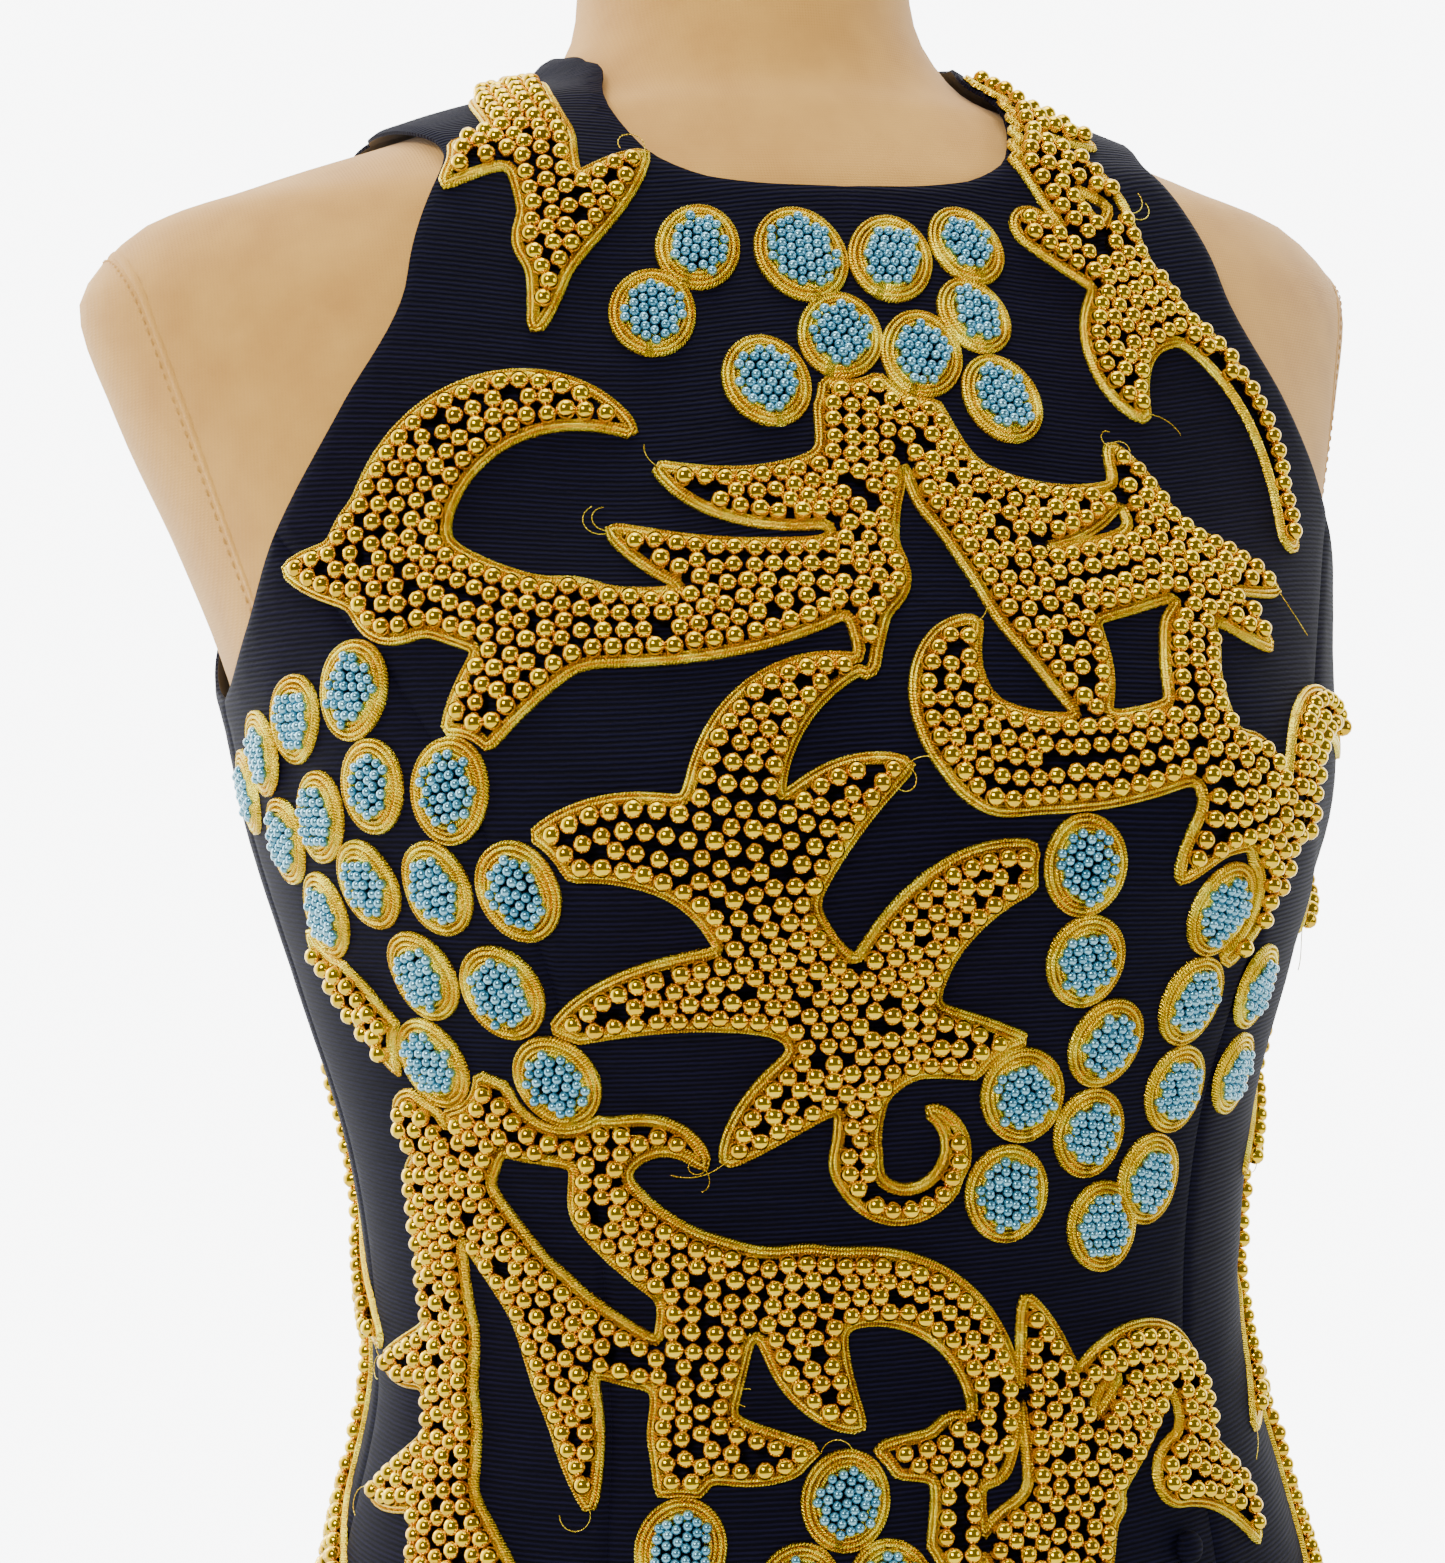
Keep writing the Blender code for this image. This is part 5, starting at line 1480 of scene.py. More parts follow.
    def read(self, places: np.ndarray) -> np.ndarray:
        """The depth at places, from the grid.

        Args:
            places: Places (angle, run).

        Returns:
            Depths in mm from the vine's edge, below 0 outside it.
        """
        a = (places[:, 0] - self.angles[0]) / (self.angles[1] - self.angles[0])
        r = (places[:, 1] - self.runs[0]) / (self.runs[1] - self.runs[0])
        last_a, last_r = len(self.angles) - 1.01, len(self.runs) - 1.01
        out = (a < 0) | (r < 0) | (a > last_a) | (r > last_r)
        return np.where(out, OUTSIDE, from_grid(self.depth, np.clip(a, 0, last_a), np.clip(r, 0, last_r)))

    def lines(self, level: float, shortest: float) -> list[np.ndarray]:
        """Closed lines at one depth.

        Args:
            level: The depth in mm.
            shortest: The length in mm that a line has to pass.

        Returns:
            Lines of places (angle, run).
        """
        found = []
        for line in contour(self.depth, level):
            places = chart_line(line, self.angles, self.runs)
            spots = FIGURE.spots(places)
            if np.linalg.norm(np.diff(spots, axis=0), axis=1).sum() > shortest:
                found.append(places)
        return found

    def oval(self, k: int, inset: float, points: np.ndarray) -> np.ndarray:
        """Places in a grape's own oval.

        Args:
            k: The grape's number.
            inset: How far the oval is drawn in from its edge, in mm.
            points: Points of the unit circle or within it, a pair each.

        Returns:
            Places (angle, run).
        """
        radius, heading = self.grapes["radius"][k], self.grapes["heading"][k]
        long, short = radius * OVAL_LONG - inset, radius * OVAL_SHORT - inset
        x, y = points[:, 0] * long, points[:, 1] * short
        aside = x * math.cos(heading) - y * math.sin(heading)
        rise = x * math.sin(heading) + y * math.cos(heading)
        angle, run = self.grapes["place"][k]
        across, up, _ = FIGURE.frame(angle, run)
        wide = np.linalg.norm(across)
        lean = (across * up).sum() / wide
        by = rise / math.sqrt((up**2).sum() - lean**2)
        return np.stack([angle + (aside - by * lean) / wide, run + by], -1)


def triangles_of(outline: np.ndarray, points: np.ndarray) -> tuple[np.ndarray, np.ndarray]:
    """Triangles of a panel, whose outline comes first.

    Args:
        outline: The closed outline (angle, run).
        points: More points within it.

    Returns:
        All points (angle, run), and a row of three numbers for each triangle.
    """
    scale = np.array([PANEL_GIRTH, 1.0])
    coords = [Vector(p) for p in np.concatenate([outline, points]) * scale]
    edges = [(i, (i + 1) % len(outline)) for i in range(len(outline))]
    verts, _, faces, *_ = geometry.delaunay_2d_cdt(coords, edges, [], 1, 1e-5)
    return np.array([tuple(v) for v in verts]) / scale, np.array([tuple(f) for f in faces])


@dataclass
class ClothPanel:
    """One panel of the dress: a thin shell whose outside creases, dips at its seams and carries ribs."""

    name: str
    outline: np.ndarray
    drape: Drape
    fine: float = 6.0
    skirt: float = 9.0
    coarse: float = 9.0

    def spread(self, pitch: float, skirt_pitch: float) -> np.ndarray:
        """Points spread over the panel's inside.

        Args:
            pitch: How far apart they are above the skirt, in mm.
            skirt_pitch: How far apart they are in the skirt.

        Returns:
            Places (angle, run).
        """
        low, high = self.outline.min(0), self.outline.max(0)
        points, run, k = [], low[1] + pitch / 2, 0
        while run < high[1]:
            wide = skirt_pitch if FIGURE.height_at(run) < SKIRT_TOP else pitch
            middle = (low[0] + high[0]) / 2 if low[0] > 0 else low[0]
            girth = np.linalg.norm(FIGURE.frame(middle, run)[0])
            step = wide / max(girth, 60)
            angles = np.arange(low[0] + step * (0.5 + 0.5 * (k % 2)), high[0], step)
            points.append(np.stack([angles, np.full(len(angles), run)], -1))
            run, k = run + wide * 0.87, k + 1
        found = np.concatenate(points)
        found = found[inside(self.outline, found)]
        away = line_distance(self.outline, found)
        in_skirt = FIGURE.height_at(found[:, 1]) < SKIRT_TOP
        return found[away > np.where(in_skirt, 0.6 * skirt_pitch, 0.7 * pitch)]

    def edge_rows(self, insets: Sequence[float]) -> np.ndarray:
        """Rows of points drawn in from the outline.

        Args:
            insets: How far each row is drawn in, in mm.

        Returns:
            Places (angle, run), without those that would crowd another part of the outline.
        """
        before, after = np.roll(self.outline, 1, axis=0), np.roll(self.outline, -1, axis=0)
        along = FIGURE.spots(after) - FIGURE.spots(before)
        across, up, normal = FIGURE.ways(self.outline)
        inward = np.cross(normal, along)
        inward /= np.linalg.norm(inward, axis=1, keepdims=True)
        aa, ab, bb = (across**2).sum(1), (across * up).sum(1), (up**2).sum(1)
        ia, ib = (inward * across).sum(1), (inward * up).sum(1)
        det = aa * bb - ab**2
        unit = np.stack([(ia * bb - ib * ab) / det, (ib * aa - ia * ab) / det], -1)
        rows = []
        for inset in insets:
            row = self.outline + unit * inset
            row = row[inside(self.outline, row)]
            rows.append(row[line_distance(self.outline, row) > 0.75 * inset])
        return np.concatenate(rows)

    def flat_size(self) -> tuple[float, float]:
        """Width and length of the panel laid flat, with its grainline straight, in metres."""
        angle = {"front": 0.0, "side": math.pi / 2, "back": math.pi}[self.name.split("_")[0]]
        line = self.outline.copy()
        line[:, 0] = angle * np.sign(self.outline[:, 0].mean())
        edge = FIGURE.grain(self.outline)
        edge[:, 0] -= FIGURE.grain(line)[:, 0]
        width, length = (edge.max(0) - edge.min(0)) * MM
        return float(width), float(length)

    def build(self, cloth: bpy.types.Material, lining: bpy.types.Material) -> bpy.types.Object:
        """The panel's object.

        Args:
            cloth: The outside's material.
            lining: The inside's material.

        Returns:
            The object, dressed.
        """
        points = np.concatenate([self.edge_rows((0.9, 2.6)), self.spread(self.fine, self.skirt)])
        outer, outer_faces = triangles_of(self.outline, points)
        inner, inner_faces = triangles_of(self.outline, self.spread(self.coarse, self.coarse * 1.6))
        rim = len(self.outline)
        away = line_distance(self.outline, outer)
        away[:rim] = 0
        lift = self.drape.lift(outer)
        dip = self.drape.dip * np.exp(-((away / self.drape.dip_wide) ** 2))
        tall = FIGURE.height_at(outer[:, 1]) - HEM_Z
        hem = 0.35 * np.clip((self.drape.hem_tall + 1.5 - tall) / 3, 0, 1)
        top = FIGURE.out(outer[:, 0], outer[:, 1], TOP_OF_CLOTH + lift - dip + hem)
        under_lift = np.maximum(self.drape.lift(inner), -1.2)
        under = FIGURE.out(inner[:, 0], inner[:, 1], LIFT + under_lift)
        base = len(outer)
        i = np.arange(rim)
        k = (i + 1) % rim
        sides = np.concatenate([np.stack([k, i, base + i], -1), np.stack([k, base + i, base + k], -1)])
        faces = np.concatenate([outer_faces, base + inner_faces[:, ::-1], sides])
        grain = FIGURE.grain(np.concatenate([outer, inner]))
        obj = new_object(f"{self.name}_cloth", np.concatenate([top, under]), faces, cloth, uv=grain, sharp=58)
        obj.data.materials.append(lining)
        slots = np.zeros(len(faces), np.int32)
        slots[len(outer_faces):len(outer_faces) + len(inner_faces)] = 1
        obj.data.polygons.foreach_set("material_index", slots)
        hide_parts(self.name)
        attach(obj, DRESS_BODY)
        flat = self.flat_size()
        return obj


class Dome(NamedTuple):
    """The upper part of a unit sphere, which is all of a sewn bead that shows."""

    points: np.ndarray
    faces: np.ndarray


def dome(sides: int, rings: Sequence[float]) -> Dome:
    """A dome of triangles.

    Args:
        sides: How many sides each ring has.
        rings: The rings' angles from the top, in degrees, without the top itself.

    Returns:
        Its points, the top first, and its faces.
    """
    turn = np.arange(sides) * 2 * math.pi / sides
    points = [np.array([[0.0, 0.0, 1.0]])]
    for k, polar in enumerate(np.radians(rings)):
        at = turn + (k % 2) * math.pi / sides
        ring = [np.cos(at) * math.sin(polar), np.sin(at) * math.sin(polar), np.full(sides, math.cos(polar))]
        points.append(np.stack(ring, -1))
    i = np.arange(sides)
    n = (i + 1) % sides
    faces = [np.stack([np.zeros(sides, int), 1 + i, 1 + n], -1)]
    for k in range(len(rings) - 1):
        a, b = 1 + k * sides, 1 + (k + 1) * sides
        if k % 2 == 0:
            faces += [np.stack([a + i, b + i, a + n], -1), np.stack([a + n, b + i, b + n], -1)]
        else:
            faces += [np.stack([a + i, b + i, b + n], -1), np.stack([a + i, b + n, a + n], -1)]
    return Dome(np.concatenate(points), np.concatenate(faces))


def scattered(
    shape: Dome, centres: np.ndarray, normals: np.ndarray, radii: np.ndarray, spin: np.ndarray
) -> tuple[np.ndarray, np.ndarray]:
    """Copies of one dome, as joined points and faces.

    Args:
        shape: The dome.
        centres: A centre for each copy, in mm.
        normals: Which way each copy's top faces.
        radii: Each copy's radius.
        spin: Each copy's own turn, in radians.

    Returns:
        Points and faces.
    """
    first = np.cross(normals, [0.3, 0.1, 0.95])
    first /= np.linalg.norm(first, axis=1, keepdims=True)
    second = np.cross(normals, first)
    c, s = np.cos(spin)[:, None], np.sin(spin)[:, None]
    a, b = first * c + second * s, second * c - first * s
    p = shape.points
    points = (
        a[:, None] * p[None, :, :1] + b[:, None] * p[None, :, 1:2] + normals[:, None] * p[None, :, 2:]
    ) * radii[:, None, None] + centres[:, None]
    faces = shape.faces[None] + (np.arange(len(centres)) * len(p))[:, None, None]
    return points.reshape(-1, 3), faces.reshape(-1, 3)


class Side(Enum):
    """The side of the figure that a piece of beadwork is on."""

    FRONT = "front"
    LEFT = "left"
    RIGHT = "right"
    BACK = "back"

    def holds(self, angles: np.ndarray) -> np.ndarray:
        """Which angles from centre front lie on this side."""
        near, far = math.radians(48), math.radians(118)
        return {
            Side.FRONT: np.abs(angles) <= near, Side.BACK: np.abs(angles) > far,
            Side.LEFT: (angles > near) & (angles <= far), Side.RIGHT: (angles < -near) & (angles >= -far),
        }[self]


def dress(obj: bpy.types.Object, body: str = DRESS_BODY) -> bpy.types.Object:
    """Puts a piece on the body that it rides on, and reports it."""
    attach(obj, body)
    obj.data.calc_loop_triangles()
    LOG.info("%s: %d triangles", obj.name, len(obj.data.loop_triangles))
    return obj


@dataclass
class BraidWork:
    """Braid of three cords, sewn along every leaf's edge and in two turns round every grape."""

    vine: Vine
    drape: Drape
    half_width: float = 1.75
    tall: float = 1.3
    pitch: float = 1.9
    inset: float = 1.7
    shortest: float = 26
    # Each turn round a grape: its distance from the grape's edge, and how far it is raised
    turns: tuple[tuple[float, float], ...] = ((1.6, 0.1), (4.2, 0.55))

    def section(self) -> np.ndarray:
        """The braid's section: three cords with furrows between them."""
        w, t = self.half_width, self.tall
        return np.array([
            (-w, -0.15), (-0.88 * w, 0.75 * t), (-0.62 * w, 0.95 * t), (-0.36 * w, 0.2 * t),
            (-0.16 * w, t), (0.16 * w, t), (0.36 * w, 0.2 * t), (0.62 * w, 0.95 * t), (0.88 * w, 0.75 * t),
            (w, -0.15),
        ])

    def band(self, places: np.ndarray, out: float) -> tuple:
        """The braid along one closed line of places, some way out from the cloth."""
        places = even(places, self.pitch)
        normals = FIGURE.ways(places)[2]
        spots = FIGURE.spots(places) + normals * (self.drape.top(places) + out)[:, None]
        return swept(spots, normals, self.section())

    def build(self, material: bpy.types.Material) -> None:
        """Sews the braid, in one piece for each side.

        Args:
            material: The braid's material.
        """
        turn = np.linspace(0, math.tau, 48, endpoint=False)
        circle = np.stack([np.cos(turn), np.sin(turn)], -1)
        rows = [(line, 0.0) for line in self.vine.lines(self.inset, self.shortest)]
        for k in range(len(self.vine.grapes["radius"])):
            rows += [(self.vine.oval(k, inset, circle), out) for inset, out in self.turns]
        middles = np.array([line[:, 0].mean() for line, _ in rows])
        for side in Side:
            bands = [self.band(*rows[k]) for k in np.nonzero(side.holds(middles))[0]]
            points, faces, uv = joined_bands(bands)
            obj = new_object(f"braid_{side.value}", points, faces, material, uv=uv, sharp=80)
            dress(obj)


@dataclass
class GoldBeads:
    """Round plated beads that fill the leaves and stems, nearly touching, the outer ones on the braid.

    They start in rows along the leaves' edges and are then shaken together.
    """

    vine: Vine
    drape: Drape
    radius: float = 2.6
    closest: float = 4.3
    wanted: float = 5.0
    squeezed: float = 3.9
    rim: float = 4.4
    narrow: float = 3.3
    # Rows along the edge: how many, how far apart, their beads' pitch, and the shortest line
    rows: int = 4
    row_apart: float = 4.3
    row_pitch: float = 4.8
    shortest: float = 9
    rounds: tuple[int, ...] = (10, 12, 14, 20)
    jitter: float = 0.15
    seed: int = 7

    def thinned(self, candidates: np.ndarray, least: float, settled: int = 0) -> np.ndarray:
        """The candidates, in their order, that keep a distance from all those taken before them.

        Args:
            candidates: Places in the order of their claim.
            least: The distance that is kept.
            settled: How many of the first ones stay in any case.

        Returns:
            The places that are left.
        """
        spots = FIGURE.spots(candidates)
        taken: dict[tuple[int, int, int], list[int]] = {}
        kept: list[int] = []
        cells = np.floor(spots / least).astype(int)
        limit = least**2
        around = [(x, y, z) for x in (-1, 0, 1) for y in (-1, 0, 1) for z in (-1, 0, 1)]
        for n, (x, y, z) in enumerate(cells):
            px, py, pz = spots[n]
            close = (
                spots[m] for dx, dy, dz in around for m in taken.get((x + dx, y + dy, z + dz), ())
            )
            if n < settled or all(
                (px - q[0]) ** 2 + (py - q[1]) ** 2 + (pz - q[2]) ** 2 >= limit for q in close
            ):
                taken.setdefault((x, y, z), []).append(n)
                kept.append(n)
        return candidates[kept]

    def pairs(self, spots: np.ndarray) -> tuple[np.ndarray, np.ndarray]:
        """The beads that may touch.

        Args:
            spots: The beads' points in mm.

        Returns:
            The numbers of each pair's first bead and of its second, each pair once.
        """
        cells = np.floor(spots / self.wanted).astype(np.int64) + 512
        key = (cells[:, 0] * 1024 + cells[:, 1]) * 1024 + cells[:, 2]
        order = np.argsort(key)
        ranked = key[order]
        first, second = [], []
        for dx, dy, dz in np.ndindex(3, 3, 3):
            other = key + ((dx - 1) * 1024 + dy - 1) * 1024 + dz - 1
            low, high = np.searchsorted(ranked, other, "left"), np.searchsorted(ranked, other, "right")
            for n in range(5):
                has = np.nonzero(low + n < high)[0]
                first.append(has)
                second.append(order[low[has] + n])
        a, b = np.concatenate(first), np.concatenate(second)
        return a[a < b], b[a < b]

    def shaken(self, places: np.ndarray, rounds: int) -> np.ndarray:
        """Beads pushed apart from each other and in from the vine's edge.

        Args:
            places: The beads' places (angle, run).
            rounds: How often they are pushed.

        Returns:
            Their new places.
        """
        nudge = 0.6
        east, north = np.array([nudge / GIRTH, 0]), np.array([0, nudge])
        for _ in range(rounds):
            spots = FIGURE.spots(places)
            across, up, _ = FIGURE.ways(places)
            a, b = self.pairs(spots)
            off = spots[b] - spots[a]
            away = np.maximum(np.linalg.norm(off, axis=1), 1e-6)
            push = off * (np.maximum(self.wanted - away, 0) * 0.35 / away)[:, None]
            move = np.zeros_like(spots)
            np.add.at(move, b, push)
            np.add.at(move, a, -push)
            places = places + np.stack([
                (move * across).sum(1) / (across**2).sum(1), (move * up).sum(1) / (up**2).sum(1),
            ], -1)
            slope = np.stack([
                self.vine.read(places + way) - self.vine.read(places - way) for way in (east, north)
            ], -1) / (2 * nudge)
            short = np.clip(self.rim - self.vine.read(places), 0, 1.2)[:, None]
            places = places + slope * short * [1 / GIRTH, 1]
        return places

    def places(self) -> np.ndarray:
        """Where the beads are sewn."""
        rows = [
            even(line, self.row_pitch) for k in range(self.rows)
            for line in self.vine.lines(self.rim + self.row_apart * k, self.shortest)
        ]
        rng = np.random.default_rng(self.seed)
        i, j = np.nonzero(self.vine.depth > self.rim - 0.5)
        rest = np.stack([self.vine.angles[i], self.vine.runs[j]], -1)
        rest = rest[np.argsort(-self.vine.depth[i, j] + rng.uniform(0, 1.5, len(i)))]
        found = self.thinned(np.concatenate([*rows, rest]), self.closest)
        for rounds in self.rounds:
            found = self.thinned(np.concatenate([found, rest]), self.squeezed, len(found))
            found = self.shaken(found, rounds)
        found = self.thinned(found, self.closest)
        found = found[self.vine.read(found) > self.rim - 1.2]
        i, j = np.nonzero(self.vine.depth > self.narrow)
        slim = np.stack([self.vine.angles[i], self.vine.runs[j]], -1)
        slim = slim[np.argsort(-self.vine.depth[i, j])]
        return self.thinned(np.concatenate([found, slim]), self.wanted - 0.2, len(found))

    def build(self, material: bpy.types.Material) -> None:
        """Sews the beads, in one piece for each side.

        Args:
            material: The beads' material.
        """
        places = self.places()
        rng = np.random.default_rng(self.seed + 1)
        count = len(places)
        radii = self.radius * rng.uniform(0.95, 1.04, count)
        places = places + rng.normal(0, 1, (count, 2)) * [self.jitter / PANEL_GIRTH, self.jitter]
        normals = FIGURE.ways(places)[2]
        out = self.drape.top(places) + radii * rng.uniform(0.78, 0.98, count)
        centres = FIGURE.spots(places) + normals * out[:, None]
        tilt = normals + rng.normal(0, 0.06, (count, 3))
        tilt /= np.linalg.norm(tilt, axis=1, keepdims=True)
        tone, spin = rng.uniform(0, 0.65, count), rng.uniform(0, math.tau, count)
        shape = dome(11, (28, 58, 88, 118))
        for side in Side:
            mine = side.holds(places[:, 0])
            points, faces = scattered(shape, centres[mine], tilt[mine], radii[mine], spin[mine])
            obj = new_object(
                f"gold_beads_{side.value}", points, faces, material,
                tone=np.repeat(tone[mine], len(shape.points)), sharp=180,
            )
            dress(obj)
        LOG.info("gold beads: %d", count)


@dataclass
class GrapePearls:
    """Blue pearls packed within the braid of each grape."""

    vine: Vine
    drape: Drape
    radius: float = 1.4
    apart: float = 2.76
    from_edge: float = 4.6
    seat: float = 1.75
    seed: int = 19

    def build(self, material: bpy.types.Material) -> None:
        """Sews the pearls as one piece.

        Args:
            material: The pearls' material.
        """
        rng = np.random.default_rng(self.seed)
        rows = []
        x, y = (part.ravel() for part in np.meshgrid(np.arange(-4, 5), np.arange(-4, 5)))
        for k, radius in enumerate(self.vine.grapes["radius"]):
            hexes = np.stack([x + 0.5 * y, 0.866 * y], -1) * self.apart
            hexes += rng.uniform(-0.5, 0.5, 2) * self.apart + rng.normal(0, 0.12, hexes.shape)
            turn = rng.uniform(0, math.tau)
            c, s = math.cos(turn), math.sin(turn)
            hexes = hexes @ np.array([[c, s], [-s, c]])
            hexes = hexes[np.linalg.norm(hexes / [1.16, 1.0], axis=1) < radius - self.from_edge]
            rows.append(self.vine.oval(k, 0.0, hexes / [radius * OVAL_LONG, radius * OVAL_SHORT]))
        places = np.concatenate(rows)
        count = len(places)
        normals = FIGURE.ways(places)[2]
        out = self.drape.top(places) + self.seat + rng.uniform(-0.2, 0.45, count)
        centres = FIGURE.spots(places) + normals * out[:, None]
        shape = dome(10, (26, 52, 78, 104, 128))
        points, faces = scattered(
            shape, centres, normals, self.radius * rng.uniform(0.94, 1.05, count),
            rng.uniform(0, 6.28, count),
        )
        tone = np.repeat(rng.uniform(0, 0.6, count), len(shape.points))
        dress(new_object("grape_pearls", points, faces, material, tone=tone, sharp=180))
        LOG.info("pearls: %d", count)


@dataclass
class LooseEnds:
    """Frayed ends of the braid's gilt thread, which stand up in curls near the leaves' tips."""

    vine: Vine
    drape: Drape
    radius: float = 0.14
    share: float = 0.7
    sides: int = 4
    points: int = 12
    seed: int = 43

    def build(self, material: bpy.types.Material) -> None:
        """Makes the threads as one piece of thin tubes.

        Args:
            material: The threads' material.
        """
        rng = np.random.default_rng(self.seed)
        tips = self.vine.tips[rng.uniform(0, 1, len(self.vine.tips)) < self.share]
        tips = np.concatenate([tips, tips[::2]])
        tips = tips[self.vine.read(tips[:, :2]) > -0.6]
        count, sides, rows = len(tips), self.sides, self.points
        length, turn = rng.uniform(5, 15, count), rng.uniform(-260, 260, count)
        angles, runs, _ = FIGURE.walk(
            tips[:, 0], tips[:, 1], tips[:, 2] + rng.normal(0, 0.9, count), length, turn, rows,
        )
        part = np.linspace(0, 1, rows)
        tall, bow = rng.uniform(0.6, 2.6, count)[:, None], rng.uniform(1.6, 3.0, count)[:, None]
        arch = 0.9 + tall * np.sin(part * bow)
        across, up, normal = FIGURE.frame(angles, runs)
        top = self.drape.top(np.stack([angles, runs], -1).reshape(-1, 2)).reshape(angles.shape)
        spots = FIGURE.at(angles, runs) + normal * (top + arch)[..., None]
        across /= np.linalg.norm(across, axis=-1, keepdims=True)
        points, faces = [], []
        for k in range(count):
            along = np.gradient(spots[k], axis=0)
            along /= np.linalg.norm(along, axis=1, keepdims=True)
            flank = np.cross(normal[k], along)
            for way in np.arange(sides) * math.tau / sides:
                points.append(spots[k] + self.radius * (flank * math.cos(way) + normal[k] * math.sin(way)))
            faces.append(grid_quads(sides, rows, rows_close=True) + k * sides * rows)
        points, faces = np.concatenate(points), np.concatenate(faces)
        uv = np.stack([np.tile(part * 10, count * sides), np.zeros(len(points))], -1)
        dress(new_object("loose_thread_ends", points, faces, material, uv=uv, sharp=180))
        LOG.info("loose thread ends: %d", count)


@dataclass
class BackZip:
    """A metal zip at the centre back: cast teeth on a narrow tape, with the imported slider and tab."""

    tooth_pitch: float = 1.7
    tooth_tall: float = 0.95
    tooth_out: float = 1.9

    def spine(self, height: np.ndarray) -> tuple[np.ndarray, np.ndarray, np.ndarray]:
        """Points, normals and upward ways along the centre back at heights."""
        runs = FIGURE.run_at(height)
        _, up, normal = FIGURE.frame(math.pi, runs)
        spots = FIGURE.at(math.pi, runs) + normal * LIFT
        return spots, normal, up / np.linalg.norm(up, axis=1, keepdims=True)

    def build(self, metal: bpy.types.Material, tape: bpy.types.Material) -> None:
        """Makes the teeth and the tape, and dresses the slider and the tab.

        Args:
            metal: The material of the teeth, the slider and the tab.
            tape: The tape's material.
        """
        low, high = FIGURE.run_at(ZIP_BOTTOM + 1), FIGURE.run_at(ZIP_TOP - 1)
        runs = np.arange(low, high, self.tooth_pitch / 2)
        spots, normal, up = self.spine(FIGURE.height_at(runs))
        side = np.where(np.arange(len(runs)) % 2 == 0, 1.0, -1.0)
        # A tooth's corners: aside from the middle, up, and out
        near, far, t = -0.45, 2.0, self.tooth_tall / 2
        corners = np.array([
            (near, -t * 0.7, 0.3), (far, -t, 0.2), (far, t, 0.2), (near, t * 0.7, 0.3),
            (near + 0.2, -t * 0.5, self.tooth_out - 0.15), (far - 0.3, -t * 0.75, self.tooth_out),
            (far - 0.3, t * 0.75, self.tooth_out), (near + 0.2, t * 0.5, self.tooth_out - 0.15),
        ])
        aside = np.array([1.0, 0, 0])
        points = (
            spots[:, None] + side[:, None, None] * corners[None, :, :1] * aside
            + up[:, None] * corners[None, :, 1:2] + normal[:, None] * corners[None, :, 2:]
        ).reshape(-1, 3)
        quads = np.array([
            (4, 5, 6, 7), (0, 1, 5, 4), (1, 2, 6, 5), (2, 3, 7, 6), (3, 0, 4, 7), (0, 3, 2, 1),
        ])
        faces = (quads[None] + 8 * np.arange(len(runs))[:, None, None]).reshape(-1, 4)
        teeth = new_object("zip_teeth", points, faces, metal, sharp=30)
        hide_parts("zip_chain")
        dress(teeth)
        section = np.array([(-2.5, 0.35), (-2.3, 0.8), (-0.3, 0.75), (0.3, 0.75), (2.3, 0.8), (2.5, 0.35)])
        heights = np.linspace(ZIP_BOTTOM, ZIP_TOP, 90)
        spots, normal, _ = self.spine(heights)
        points = (
            spots[:, None] + section[None, :, :1] * aside + normal[:, None] * section[None, :, 1:]
        ).reshape(-1, 3)
        faces = grid_quads(len(heights), len(section))
        uv = np.stack(np.broadcast_arrays(heights[:, None], section[None, :, 0]), -1).reshape(-1, 2)
        ribbon = new_object("zip_tape", points, faces, tape, uv=uv)
        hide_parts("zip_chain")
        dress(ribbon)
        for name in ("zip_slider", "zip_pull_tab"):
            redress(name, metal)


def redress(node: str, material: bpy.types.Material) -> None:
    """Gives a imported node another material, and keeps its shape."""
    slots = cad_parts[node].material_slots
    for slot in slots:
        slot.material = material
    LOG.info("%s: %s", node, material.name)


